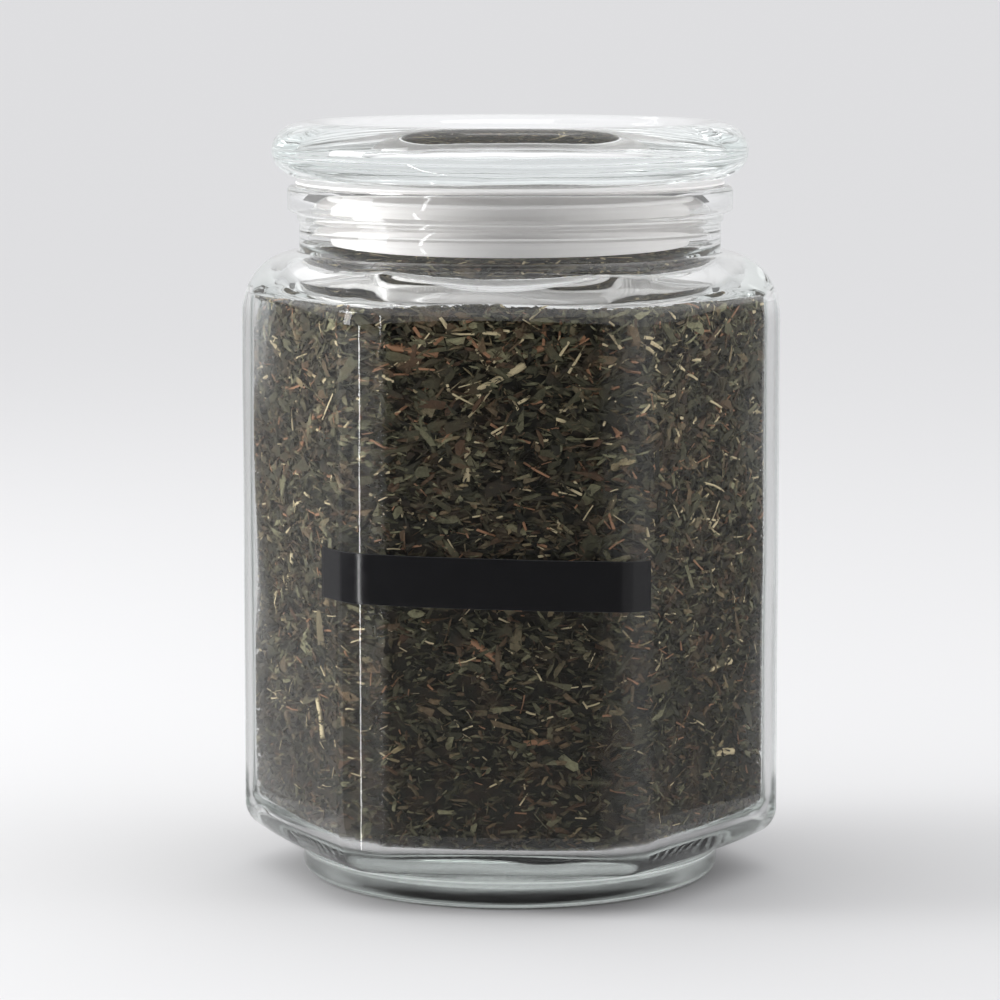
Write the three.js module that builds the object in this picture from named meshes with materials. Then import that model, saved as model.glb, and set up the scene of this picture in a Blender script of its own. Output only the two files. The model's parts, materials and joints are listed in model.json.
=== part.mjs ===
// A panelled glass storage jar with a pressed glass lid, full of cut dried lemon balm.
// Millimetres, +Z up. The origin is the middle of the foot, on the surface the jar stands on.
// The panel that carries the label tape faces -Y.

import * as THREE from 'three';
import * as BufferGeometryUtils from 'three/addons/utils/BufferGeometryUtils.js';

// ---------- driving dimensions ----------

const PANELS = 6;
const PANEL_REACH = 45.4; // from the axis to the middle of a panel
const CORNER_RADIUS = 8;
const INNER_CORNER_RADIUS = 14; // the inside is rounder, so the glass is thickest at the corners
const PANEL_BOW = THREE.MathUtils.degToRad(7); // half of the angle that a panel's shallow arc turns
const WALL = 2.5;

const FOOT_RADIUS = 38.6;
const FOOT_EDGE = 2.2; // radius of the foot's lower edge
const FOOT_TOP = 5.2;
const BEARING_INNER = 31.5; // the flat ring that the jar stands on starts here
const PUSH_UP = 2; // height of the hollow under the jar
const PUSH_UP_RADIUS = 28;
const HEEL_RADIUS = 5;
const HEEL_BOTTOM = 6.8;
const FLOOR_TOP = 10;
const FLOOR_FILLET = 4.5;

const SHOULDER_FROM = 103;
const SHOULDER_HEIGHT = 12.2;
const NECK_RADIUS = 38.7;
const MOUTH_RADIUS = 36.6; // inside of the neck
// Inside, the wall stays upright for longer and then turns in sharply: heights from the top down,
// each with the share of the way from the panelled outline to the round mouth.
const SHOULDER_ROOF = [[113.4, 1], [112.2, 0.94], [110, 0.55], [108.1, 0.16], [106.5, 0]];
const STEP_FROM = 120.6; // a small step where the two halves of the neck mould met
const STEP = 0.45;
const COLLAR_FROM = 122.1;
const COLLAR_RADIUS = 40.9;
const COLLAR_EDGE = 0.9;
const MOUTH_TOP = 127.2;

const LID_RADIUS = 43.7;
const LID_BULGE = 6.5; // how far the lid's fat rim bulges out
const LID_UNDER = 128.2;
const LID_TOP = 138.8;
const LID_DISH_RADIUS = 31;
const LID_DISH_DEPTH = 2.3;
const LID_CEILING = 132.9;
const PLUG_RADIUS = 31.4;
const PLUG_INNER = 26.3;
const PLUG_BOTTOM = 115.2;

const SEAL_INNER = PLUG_RADIUS + 0.3;
const SEAL_BODY = 32.9;
const SEAL_RIB = 36.2;
const SEAL_BOTTOM = 114.6;
const SEAL_RIBS = 3;
const SEAL_RIB_FROM = 118.9;
const SEAL_RIB_PITCH = 2.7;
const SEAL_RIB_THICK = 0.9;
const SEAL_FLANGE = 39.3;
const SEAT_GAP = 0.3; // clearance between pieces that rest on one another

const TAPE_HEIGHT = 9;
const TAPE_THICK = 0.4;
const TAPE_MIDDLE = 59.8;
const TAPE_LEAN = THREE.MathUtils.degToRad(1.2); // it was stuck on slightly lower at its +X end
const TAPE_FROM = -31; // ends of the tape along the front, across the panel
const TAPE_TO = 27.7;
const TAPE_GAP = 0.1;

const HERB_LAYER = 1.9; // the loose outer layer between the packed herb and the glass
const HERB_TOP = 107.9;
const HERB_MOUND = 1.8;
const PIECE_GAP = 0.4; // how far a stem or a leaf lies from the glass

const ROUND_STEPS = 48;

// ---------- finishes ----------

const clearGlass = new THREE.MeshStandardMaterial({
  color: 0xd5e3de, roughness: 0.04, metalness: 0, transparent: true, opacity: 0.35,
});
const milkyPlastic = new THREE.MeshStandardMaterial({ color: 0xe4dfda, roughness: 0.45, metalness: 0 });
const blackTape = new THREE.MeshStandardMaterial({ color: 0x08090c, roughness: 0.25, metalness: 0 });
const driedLeaf = new THREE.MeshStandardMaterial({ color: 0x3c3f2a, roughness: 0.9, metalness: 0 });
const strawStem = new THREE.MeshStandardMaterial({ color: 0x9c8a5c, roughness: 0.8, metalness: 0 });
const brownStem = new THREE.MeshStandardMaterial({ color: 0x6b3d22, roughness: 0.8, metalness: 0 });

// ---------- the jar's outline ----------

const QUARTER = Math.PI / 2;
const SECTOR = (2 * Math.PI) / PANELS;

// Each panel is a shallow arc, and each corner a tight one that meets two panels smoothly.
// Both kinds of arc are kept as a middle, a radius and the direction of each point's normal,
// so an outline set in by any amount is exactly parallel to its face.
function panelled(reach, cornerRadius) {
  const betweenMiddles = (reach - cornerRadius)
    / (1 - Math.cos(PANEL_BOW) + Math.sin(PANEL_BOW) / Math.tan(SECTOR / 2));
  return {
    reach,
    cornerRadius,
    panelRadius: betweenMiddles + cornerRadius,
    cornerMiddle: (betweenMiddles * Math.sin(PANEL_BOW)) / Math.sin(SECTOR / 2),
  };
}

const OUTER_FACE = panelled(PANEL_REACH, CORNER_RADIUS);
const INNER_FACE = panelled(PANEL_REACH - WALL, INNER_CORNER_RADIUS);

function outlinePoints({ reach, cornerRadius, panelRadius, cornerMiddle }, panelSteps, cornerSteps) {
  const points = [];
  for (let panel = 0; panel < PANELS; panel++) {
    const facing = -QUARTER + panel * SECTOR;
    const corner = facing + SECTOR / 2;
    for (let i = 0; i < panelSteps; i++) {
      const normal = facing - PANEL_BOW + (2 * PANEL_BOW * i) / panelSteps;
      points.push({ away: reach - panelRadius, towards: facing, radius: panelRadius, normal });
    }
    for (let i = 0; i < cornerSteps; i++) {
      const normal = facing + PANEL_BOW + ((SECTOR - 2 * PANEL_BOW) * i) / cornerSteps;
      points.push({ away: cornerMiddle, towards: corner, radius: cornerRadius, normal });
    }
  }
  return points;
}

function onOutline(point, inset) {
  return new THREE.Vector2(
    point.away * Math.cos(point.towards) + (point.radius - inset) * Math.cos(point.normal),
    point.away * Math.sin(point.towards) + (point.radius - inset) * Math.sin(point.normal),
  );
}

// A level of the jar: the panelled outline set in by inset, or where round is over 0,
// that share of the way to a circle.
function level(outline, { z, inset = 0, radius = 0, round = 0 }) {
  return outline.map((point) => {
    const angle = onOutline(point, 0).angle();
    const circle = new THREE.Vector2(Math.cos(angle), Math.sin(angle)).multiplyScalar(radius);
    const at = onOutline(point, inset).lerp(circle, round);
    return new THREE.Vector3(at.x, at.y, z);
  });
}

// Skins the levels in order and closes both ends at the axis.
function skin(levels, firstZ, lastZ) {
  const around = levels[0].length;
  const position = [0, 0, firstZ];
  for (const ring of levels) for (const p of ring) position.push(p.x, p.y, p.z);
  position.push(0, 0, lastZ);
  const last = position.length / 3 - 1;
  const at = (ring, i) => 1 + ring * around + (i % around);
  const index = [];
  for (let i = 0; i < around; i++) {
    index.push(0, at(0, i + 1), at(0, i));
    for (let ring = 0; ring + 1 < levels.length; ring++) {
      index.push(at(ring, i), at(ring, i + 1), at(ring + 1, i + 1));
      index.push(at(ring, i), at(ring + 1, i + 1), at(ring + 1, i));
    }
    index.push(at(levels.length - 1, i), at(levels.length - 1, i + 1), last);
  }
  const geometry = new THREE.BufferGeometry();
  geometry.setAttribute('position', new THREE.Float32BufferAttribute(position, 3));
  geometry.setIndex(index);
  geometry.computeVertexNormals();
  return geometry;
}

function steps(count, make) {
  return Array.from({ length: count + 1 }, (_, i) => make((i / count) * QUARTER));
}

// ---------- glass ----------

function jarGeometry() {
  const outside = outlinePoints(OUTER_FACE, 5, 4);
  const inside = outlinePoints(INNER_FACE, 5, 4);
  const foot = [
    { z: PUSH_UP, radius: PUSH_UP_RADIUS, round: 1 },
    { z: 0, radius: BEARING_INNER, round: 1 },
    ...steps(3, (u) => ({
      z: FOOT_EDGE * (1 - Math.cos(u)),
      radius: FOOT_RADIUS - FOOT_EDGE * (1 - Math.sin(u)),
      round: 1,
    })),
    { z: FOOT_TOP, radius: FOOT_RADIUS, round: 1 },
  ];
  const heel = steps(3, (u) => ({
    z: HEEL_BOTTOM + HEEL_RADIUS * (1 - Math.cos(u)),
    inset: HEEL_RADIUS * (1 - Math.sin(u)),
  }));
  const shoulder = steps(5, (u) => ({
    z: SHOULDER_FROM + SHOULDER_HEIGHT * Math.sin(u),
    radius: NECK_RADIUS,
    round: 1 - Math.cos(u),
  }));
  const neck = [
    { z: STEP_FROM, radius: NECK_RADIUS, round: 1 },
    { z: STEP_FROM + STEP, radius: NECK_RADIUS + STEP, round: 1 },
    { z: COLLAR_FROM, radius: NECK_RADIUS + STEP, round: 1 },
    { z: COLLAR_FROM + COLLAR_EDGE, radius: COLLAR_RADIUS, round: 1 },
    { z: MOUTH_TOP - COLLAR_EDGE, radius: COLLAR_RADIUS, round: 1 },
    { z: MOUTH_TOP, radius: COLLAR_RADIUS - COLLAR_EDGE, round: 1 },
    { z: MOUTH_TOP, radius: MOUTH_RADIUS + COLLAR_EDGE, round: 1 },
    { z: MOUTH_TOP - COLLAR_EDGE, radius: MOUTH_RADIUS, round: 1 },
  ];
  const inner = [
    ...SHOULDER_ROOF.map(([z, round]) => ({ z, radius: MOUTH_RADIUS, round })),
    ...steps(3, (u) => ({
      z: FLOOR_TOP + FLOOR_FILLET * (1 - Math.sin(u)),
      inset: FLOOR_FILLET * (1 - Math.cos(u)),
    })),
  ];
  const levels = [
    ...[...foot, ...heel, ...shoulder, ...neck].map((l) => level(outside, l)),
    ...inner.map((l) => level(inside, l)),
  ];
  return skin(levels, PUSH_UP, FLOOR_TOP);
}

// Revolves a closed profile, given as x across and y up, about the jar's axis.
function turned(profile, arcSteps) {
  const geometry = new THREE.LatheGeometry(profile.getPoints(arcSteps), ROUND_STEPS);
  geometry.deleteAttribute('normal');
  geometry.deleteAttribute('uv');
  geometry.rotateX(QUARTER);
  const solid = BufferGeometryUtils.mergeVertices(geometry, 1e-3);
  solid.computeVertexNormals();
  return solid;
}

function lidGeometry() {
  const rimHalf = (LID_TOP - LID_UNDER) / 2;
  const profile = new THREE.Path();
  profile.moveTo(0, LID_CEILING);
  profile.lineTo(PLUG_INNER - 1, LID_CEILING);
  profile.lineTo(PLUG_INNER, LID_CEILING - 1);
  profile.lineTo(PLUG_INNER, PLUG_BOTTOM + 1);
  profile.lineTo(PLUG_INNER + 1, PLUG_BOTTOM);
  profile.lineTo(PLUG_RADIUS - 1, PLUG_BOTTOM);
  profile.lineTo(PLUG_RADIUS, PLUG_BOTTOM + 1);
  profile.lineTo(PLUG_RADIUS, LID_UNDER);
  profile.absellipse(LID_RADIUS - LID_BULGE, LID_UNDER + rimHalf, LID_BULGE, rimHalf, -QUARTER, QUARTER);
  profile.lineTo(LID_DISH_RADIUS, LID_TOP - LID_DISH_DEPTH);
  profile.lineTo(0, LID_TOP - LID_DISH_DEPTH);
  return turned(profile, 10);
}

// ---------- lid seal ----------

function sealGeometry() {
  const profile = new THREE.Path();
  profile.moveTo(SEAL_INNER, SEAL_BOTTOM);
  profile.lineTo(SEAL_BODY, SEAL_BOTTOM);
  for (let rib = 0; rib < SEAL_RIBS; rib++) {
    const z = SEAL_RIB_FROM + rib * SEAL_RIB_PITCH;
    profile.lineTo(SEAL_BODY, z);
    profile.lineTo(SEAL_RIB, z + SEAL_RIB_THICK / 3);
    profile.lineTo(SEAL_RIB, z + SEAL_RIB_THICK);
    profile.lineTo(SEAL_BODY, z + SEAL_RIB_THICK);
  }
  profile.lineTo(SEAL_BODY, MOUTH_TOP + SEAT_GAP);
  profile.lineTo(SEAL_FLANGE, MOUTH_TOP + SEAT_GAP);
  profile.lineTo(SEAL_FLANGE, LID_UNDER - SEAT_GAP);
  profile.lineTo(SEAL_INNER, LID_UNDER - SEAT_GAP);
  profile.closePath();
  return turned(profile, 1);
}

// ---------- label tape ----------

// The tape follows the outer face round the front panel and its two corners.
function tapeGeometry() {
  const route = outlinePoints(OUTER_FACE, 8, 8)
    .map((point) => ({ near: onOutline(point, -TAPE_GAP), far: onOutline(point, -TAPE_GAP - TAPE_THICK) }))
    .filter(({ near }) => near.y < 0 && near.x > TAPE_FROM && near.x < TAPE_TO)
    .sort((a, b) => a.near.x - b.near.x);
  const outline = [...route.map((p) => p.near), ...route.map((p) => p.far).reverse()];
  const geometry = new THREE.ExtrudeGeometry(new THREE.Shape(outline), {
    depth: TAPE_HEIGHT, bevelEnabled: false,
  });
  geometry.translate(0, 0, TAPE_MIDDLE - TAPE_HEIGHT / 2);
  return geometry.applyMatrix4(new THREE.Matrix4().makeShear(0, -Math.tan(TAPE_LEAN), 0, 0, 0, 0));
}

// ---------- herb ----------

function herbFillGeometry() {
  const outline = outlinePoints(INNER_FACE, 2, 4);
  const levels = [
    { z: FLOOR_TOP + HERB_LAYER / 2, inset: HERB_LAYER + FLOOR_FILLET - 1 },
    { z: FLOOR_TOP + FLOOR_FILLET, inset: HERB_LAYER },
    { z: SHOULDER_FROM, inset: HERB_LAYER },
    { z: HERB_TOP, inset: HERB_LAYER, radius: MOUTH_RADIUS, round: 0.2 },
    { z: HERB_TOP + HERB_MOUND / 2, radius: MOUTH_RADIUS / 2, round: 1 },
  ];
  return skin(levels.map((l) => level(outline, l)), levels[0].z, HERB_TOP + HERB_MOUND);
}

// A length of cut stem along X: a slightly flattened, tapered stick.
function stemGeometry(length, width, thick) {
  const geometry = new THREE.CylinderGeometry(0.5, 0.42, length, 7);
  return geometry.rotateZ(QUARTER).scale(1, width, thick);
}

// A scrap of leaf in the XY plane, its tip along X.
function leafGeometry(length, width, thick) {
  const scrap = new THREE.Shape();
  scrap.moveTo(-length / 2, -width * 0.18);
  scrap.quadraticCurveTo(-length * 0.05, -width * 0.75, length / 2, 0);
  scrap.quadraticCurveTo(length * 0.05, width * 0.7, -length * 0.42, width * 0.3);
  scrap.closePath();
  const geometry = new THREE.ExtrudeGeometry(scrap, { depth: thick, bevelEnabled: false, curveSegments: 3 });
  return geometry.translate(0, 0, -thick / 2);
}

// The larger pieces that lie against the glass. panel counts round from the front,
// across is measured from the middle of the panel and up from the surface the jar stands on.
const STEM_WIDTH = 1.5;
const STEM_THICK = 1.1;
const LEAF_THICK = 0.4;
const WALL_STEMS = [
  { panel: 0, across: 0.8, up: 95.5, turn: 28, length: 10.5, material: strawStem },
  { panel: 0, across: -4.6, up: 80.5, turn: 88, length: 5.8, material: strawStem },
  { panel: 0, across: -14.4, up: 100.6, turn: -8, length: 9.6, material: brownStem },
  { panel: 0, across: 11.4, up: 101.6, turn: 14, length: 8.8, material: brownStem },
  { panel: 0, across: -1.6, up: 47.6, turn: -34, length: 5.4, material: brownStem },
  { panel: 0, across: 7.5, up: 31.2, turn: 3, length: 4.6, material: brownStem },
  { panel: 1, across: -14, up: 91.5, turn: 20, length: 9.2, material: strawStem },
  { panel: 1, across: 2.5, up: 101.5, turn: 6, length: 8.4, material: brownStem },
  { panel: 1, across: 3.6, up: 41.4, turn: 5, length: 7.2, material: strawStem },
  { panel: 1, across: 5.8, up: 24.9, turn: -4, length: 6.6, material: strawStem },
  { panel: 5, across: -8, up: 98.6, turn: -22, length: 8.8, material: strawStem },
  { panel: 5, across: 12.2, up: 94.6, turn: -10, length: 9.4, material: strawStem },
  { panel: 5, across: 7, up: 84.8, turn: 48, length: 8.6, material: brownStem },
  { panel: 5, across: -1.4, up: 58.2, turn: 66, length: 7.8, material: strawStem },
  { panel: 5, across: 10.6, up: 33, turn: -74, length: 7.2, material: strawStem },
  { panel: 2, across: -6.2, up: 93, turn: 35, length: 9.8, material: strawStem },
  { panel: 2, across: 8.4, up: 66.5, turn: -20, length: 8.2, material: brownStem },
  { panel: 3, across: -9.5, up: 88.4, turn: 12, length: 9, material: strawStem },
  { panel: 3, across: 6.4, up: 99, turn: -30, length: 10.2, material: brownStem },
  { panel: 3, across: 1.2, up: 52.4, turn: 72, length: 7, material: strawStem },
  { panel: 4, across: 9.2, up: 96.2, turn: 24, length: 9.4, material: strawStem },
  { panel: 4, across: -7.6, up: 71.5, turn: -52, length: 8, material: brownStem },
];
const WALL_LEAVES = [
  { panel: 0, across: -11.4, up: 91.6, turn: 62, length: 5.6, width: 3.4 },
  { panel: 0, across: 15.2, up: 87.4, turn: -18, length: 6.2, width: 3.6 },
  { panel: 0, across: -6.8, up: 22.4, turn: 30, length: 5, width: 3.2 },
  { panel: 1, across: -2.8, up: 80.6, turn: 84, length: 6, width: 3.2 },
  { panel: 1, across: 9.5, up: 58.6, turn: 24, length: 5.2, width: 3 },
  { panel: 2, across: 3.8, up: 82.2, turn: -40, length: 6, width: 3.4 },
  { panel: 3, across: -3.4, up: 74.6, turn: 50, length: 5.6, width: 3.4 },
  { panel: 4, across: 1.6, up: 86.4, turn: 12, length: 6.2, width: 3.6 },
  { panel: 5, across: -4.2, up: 72.8, turn: 76, length: 5.8, width: 3.2 },
  { panel: 5, across: 5.6, up: 45.4, turn: -28, length: 5.4, width: 3.2 },
];
// Pieces on top of the heap, by distance and direction from the axis.
const TOP_STEMS = [
  { away: 13, around: 30, turn: 75, length: 12, material: strawStem },
  { away: 22, around: 165, turn: 20, length: 10, material: strawStem },
  { away: 25, around: 265, turn: -12, length: 11, material: brownStem },
  { away: 6, around: 230, turn: -40, length: 9, material: brownStem },
];
const TOP_LEAVES = [
  { away: 20, around: 75, turn: 10, length: 7, width: 4 },
  { away: 15, around: 315, turn: -65, length: 6.4, width: 3.8 },
  { away: 28, around: 210, turn: 35, length: 6.4, width: 3.6 },
];

// Lays a flat piece against the inside of a panel, its thickness across the layer.
function againstPanel(mesh, { panel, across, up, turn }, thick) {
  const holder = new THREE.Group();
  holder.rotation.z = panel * SECTOR;
  const seat = new THREE.Group();
  const reach = INNER_FACE.reach - PIECE_GAP - thick / 2;
  seat.position.set(across, (across * across) / (2 * INNER_FACE.panelRadius) - reach, up);
  seat.rotation.z = Math.asin(across / INNER_FACE.panelRadius);
  mesh.rotation.set(QUARTER, 0, THREE.MathUtils.degToRad(turn), 'XYZ');
  seat.add(mesh);
  holder.add(seat);
  return holder;
}

// Lays a piece on the heap, which falls away gently from its middle.
function onHeap(mesh, { away, around, turn }, thick) {
  const slope = Math.atan(HERB_MOUND / 2 / (MOUTH_RADIUS / 2));
  const holder = new THREE.Group();
  holder.rotation.z = THREE.MathUtils.degToRad(around);
  const heap = HERB_TOP + HERB_MOUND - away * Math.tan(slope);
  mesh.position.set(away, 0, heap + SEAT_GAP + thick / 2);
  mesh.rotation.set(0, slope, THREE.MathUtils.degToRad(turn), 'YXZ');
  holder.add(mesh);
  return holder;
}

// ---------- assembly ----------

function named(name, geometry, material) {
  const mesh = new THREE.Mesh(geometry, material);
  mesh.name = name;
  return mesh;
}

function numbered(kind, i) {
  return `${kind}_${String(i + 1).padStart(2, '0')}`;
}

const jar = new THREE.Group();
jar.add(named('glass_jar', jarGeometry(), clearGlass));
jar.add(named('glass_lid', lidGeometry(), clearGlass));
jar.add(named('lid_seal', sealGeometry(), milkyPlastic));
jar.add(named('label_tape', tapeGeometry(), blackTape));
jar.add(named('herb_fill', herbFillGeometry(), driedLeaf));

WALL_STEMS.forEach((stem, i) => {
  const geometry = stemGeometry(stem.length, STEM_WIDTH, STEM_THICK);
  jar.add(againstPanel(named(numbered('stem', i), geometry, stem.material), stem, STEM_THICK));
});
WALL_LEAVES.forEach((leaf, i) => {
  const geometry = leafGeometry(leaf.length, leaf.width, LEAF_THICK);
  jar.add(againstPanel(named(numbered('leaf', i), geometry, driedLeaf), leaf, LEAF_THICK));
});
TOP_STEMS.forEach((stem, i) => {
  const geometry = stemGeometry(stem.length, STEM_WIDTH, STEM_THICK);
  jar.add(onHeap(named(numbered('top_stem', i), geometry, stem.material), stem, STEM_THICK));
});
TOP_LEAVES.forEach((leaf, i) => {
  const geometry = leafGeometry(leaf.length, leaf.width, LEAF_THICK);
  jar.add(onHeap(named(numbered('top_leaf', i), geometry, driedLeaf), leaf, LEAF_THICK));
});

export default jar;
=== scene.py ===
"""A panelled glass storage jar with a pressed glass lid, full of cut dried lemon balm.

Run it as a script inside Blender. Every length is in metres unless a name says otherwise. The jar
stands at the origin on the plane Z = 0, and the panel with the label tape faces -Y.
"""

import json
import math

import bpy
import numpy as np
from bpy.props import FloatProperty, FloatVectorProperty, IntProperty, PointerProperty
from bpy.types import Operator, Panel, PropertyGroup
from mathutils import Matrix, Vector


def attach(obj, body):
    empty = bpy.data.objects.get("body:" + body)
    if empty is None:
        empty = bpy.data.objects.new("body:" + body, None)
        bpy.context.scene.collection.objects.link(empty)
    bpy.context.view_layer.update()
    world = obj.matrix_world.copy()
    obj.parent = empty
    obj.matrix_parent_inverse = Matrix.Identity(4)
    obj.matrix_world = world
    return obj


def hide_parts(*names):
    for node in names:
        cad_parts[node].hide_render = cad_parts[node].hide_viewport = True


bl_info = {
    "name": "Dried Herb Jar",
    "version": (1, 0, 0),
    "blender": (4, 5, 0),
    "location": "View3D > Sidebar > Herb Jar",
    "description": "Builds a glass storage jar of cut dried lemon balm round its packed frame",
    "category": "Add Mesh",
}

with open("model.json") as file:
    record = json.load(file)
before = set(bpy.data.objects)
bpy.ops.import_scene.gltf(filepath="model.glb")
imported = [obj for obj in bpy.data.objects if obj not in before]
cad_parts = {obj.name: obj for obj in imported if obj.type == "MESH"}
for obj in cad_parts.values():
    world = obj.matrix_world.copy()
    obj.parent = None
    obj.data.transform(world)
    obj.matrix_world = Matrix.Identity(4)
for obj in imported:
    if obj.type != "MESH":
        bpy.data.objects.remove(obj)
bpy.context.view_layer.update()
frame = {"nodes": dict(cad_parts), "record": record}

MM = 0.001
PANELS = 6
SECTOR = 2 * math.pi / PANELS
QUARTER = math.pi / 2
FRONT = -QUARTER  # direction in which the labelled panel faces

# Heights and radii of the glass that never change with the settings below.
FOOT_EDGE = 2.2 * MM
FOOT_TOP = 5.2 * MM
BEARING_INNER = 31.5 * MM
PUSH_UP = 2 * MM
PUSH_UP_RADIUS = 28 * MM
HEEL_RADIUS = 5 * MM
HEEL_BOTTOM = 6.8 * MM
FLOOR_TOP = 10.0 * MM
FLOOR_FILLET = 4.5 * MM
SHOULDER_FROM = 103 * MM
SHOULDER_HEIGHT = 12.2 * MM
# Inside, the wall stays upright for longer and then turns in sharply: heights from the top down,
# each with the share of the way from the panelled outline to the round mouth.
SHOULDER_ROOF = np.array(
    [
        (113.8 * MM, 1.0),
        (113.1 * MM, 0.985),
        (112.2 * MM, 0.93),
        (111.2 * MM, 0.79),
        (110.1 * MM, 0.58),
        (109.2 * MM, 0.39),
        (108.5 * MM, 0.24),
        (107.9 * MM, 0.13),
        (107.3 * MM, 0.055),
        (106.6 * MM, 0.012),
        (106.0 * MM, 0.0),
    ]
)
# Shifts over which those shares are averaged, so that the inside is smooth.
ROOF_BLEND = (-0.3 * MM, -0.1 * MM, 0.1 * MM, 0.3 * MM)
NECK_MIDDLE = 118 * MM
STEP_FROM = 120.6 * MM
STEP = 0.45 * MM  # small step in the neck below the collar
COLLAR_FROM = 122.1 * MM
COLLAR_EDGE = 0.9 * MM
MOUTH_TOP = 127.2 * MM
KNURLS = 84  # grip marks round the bearing ring
KNURL_DEPTH = 0.35 * MM
BLOWN_FADE = 8 * MM  # height over which the waves of the blown glass fade in and out

LID_BULGE = 6.5 * MM  # how far the lid's fat rim bulges out
LID_UNDER = 128.2 * MM
LID_TOP = 138.8 * MM
LID_DISH_RADIUS = 31 * MM
LID_DISH_DEPTH = 2.3 * MM
LID_CEILING = 132.9 * MM
PLUG_RADIUS = 31.4 * MM
PLUG_INNER = 26.3 * MM
PLUG_BOTTOM = 115.2 * MM

SEAL_INNER = 31.7 * MM
SEAL_BODY = 32.9 * MM
SEAL_RIB = 36.2 * MM
SEAL_BOTTOM = 114.6 * MM
SEAL_RIB_FROM = 118.9 * MM
SEAL_RIB_PITCH = 2.7 * MM
SEAL_RIB_THICK = 0.9 * MM
SEAL_FLANGE = 39.3 * MM
SEAT_GAP = 0.3 * MM  # between the seal's flange and the glass above and below it

PANEL_STEPS = 48  # steps along a panel and round a corner of the jar's outline
CORNER_STEPS = 14

# Roughness of the glass where it is dusty inside and stippled below.
DUST = 0.24
STIPPLE = 0.20
# Share of a lamp's light that the glass lets through, and that its thick foot does.
GLASS_CLEAR = 0.97
FOOT_CLEAR = 0.05
FOOT_FADE = (7 * MM, 12 * MM)  # heights between which the foot's share turns into the glass's
WANDERING_LIMIT = 7.5  # steps that a ray may take in the glass before it is let out of it

CORE_DEPTH = 1.3 * MM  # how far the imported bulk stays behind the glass
CORE_DROP = 0.9 * MM  # and below the top of the heap
SCRAP_DEPTHS = (0.22 * MM, 1.25 * MM)  # how deep behind the glass the scraps lie
STICK_DEPTHS = (0.3 * MM, 1.3 * MM)  # and the lengths of stem
SCRAP_GAP = 0.22 * MM  # clearance of the scraps against the glass
HEAP_GAP = 0.25 * MM  # and of the heap and the larger pieces
HEAP_RADIUS = 42 * MM  # where the heap's dome meets the glass
HEAP_SPREAD = 41 * MM  # how far from the axis the scraps on the heap lie

TAPE_MIDDLE = 59.8 * MM
TAPE_FROM = -31 * MM
TAPE_TO = 27.7 * MM
TAPE_EDGE = 0.16 * MM  # radius of the tape's soft edge

FLOOR_HALF = 40.0
CARD_HEIGHT = 111 * MM
# Cards that only the glass shows, as painted reflections: grey sheets for a dim room round the jar,
# and a glowing strip that paints a highlight. Each has a name, where it starts and ends on the
# floor, how pale it is at its foot and at its top, and how much it glows.
CARDS = (
    ("left_flag", (-0.0720, 0.0337), (-0.1144, -0.0225), 0.72, 0.40, 0),
    ("left_fore_flag", (-0.1144, -0.0225), (-0.0520, -0.0720), 0.09, 0.09, 0),
    # A glowing strip that lights nothing: a painted highlight down the left front corner.
    ("bright_strip", (-0.0520, -0.0720), (-0.0484, -0.0720), 0.80, 0.80, 12),
    ("front_flag", (-0.0484, -0.0720), (0.0340, -0.0720), 0.25, 0.0, 0),
    ("right_front_flag", (0.0340, -0.0720), (0.0560, -0.0700), 0.38, 0.30, 0),
    ("right_fore_flag", (0.0560, -0.0700), (0.1137, -0.0329), 0.38, 0.30, 0),
    ("right_flag", (0.1137, -0.0329), (0.0763, 0.0342), 0.36, 0.26, 0),
)
# Lamps: a name, azimuth and elevation in degrees, distance, width and height, watts, and whether
# the glass mirrors it. Azimuth 0 is the camera's side, and goes round to the right.
LAMPS = (
    ("left_lamp", -79, 15.5, 0.66, (0.235, 0.22), 1.0, True),
    ("right_lamp", 75, 16, 1.4, (0.9, 0.5), 0.3, True),
    ("back_left_lamp", -140, 40, 0.75, (0.5, 0.5), 0.2, True),
    ("top_lamp", 180, 65, 0.70, (0.20, 0.12), 0.10, True),
    ("low_left_lamp", -88, 1, 0.80, (0.35, 0.11), 7.5, False),
    ("low_right_lamp", 88, 1, 0.80, (0.35, 0.11), 3.0, False),
)
LAMPS_AIM = Vector((0, 0, 0.06))
# Light from all round. Each has a direction, and how bright it is from the side opposite to it (0)
# to its own side (1). The first two are multiplied, and the third is what glass and camera see.
LIGHT_BACK = ((0.0, 0.966, 0.259), [(0.10, 0.08), (0.33, 0.88), (1.0, 1.0)])
LIGHT_SIDES = ((1.0, 0.0, 0.0), [(0.0, 1.0), (0.33, 0.46), (0.67, 0.46), (1.0, 0.76)])
LIGHT_SHOWN = ((0.0, 0.0, 1.0), [(0.50, 0.368), (0.66, 0.442), (1.0, 0.557)])
LIGHT_STRENGTH = 1.94


# ---------- settings ----------


def metres(name, description, default):
    """A setting in metres."""
    return FloatProperty(name=name, description=description, default=default, unit="LENGTH")


def radians(name, description, default):
    """A setting in radians."""
    return FloatProperty(name=name, description=description, default=default, subtype="ANGLE")


def amount(name, description, default):
    """A setting without a unit."""
    return FloatProperty(name=name, description=description, default=default)


def whole(name, description, default):
    """A setting that counts."""
    return IntProperty(name=name, description=description, default=default)


def hue(name, description, default):
    """A colour setting."""
    return FloatVectorProperty(
        name=name, description=description, default=default, size=3, subtype="COLOR"
    )


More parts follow.
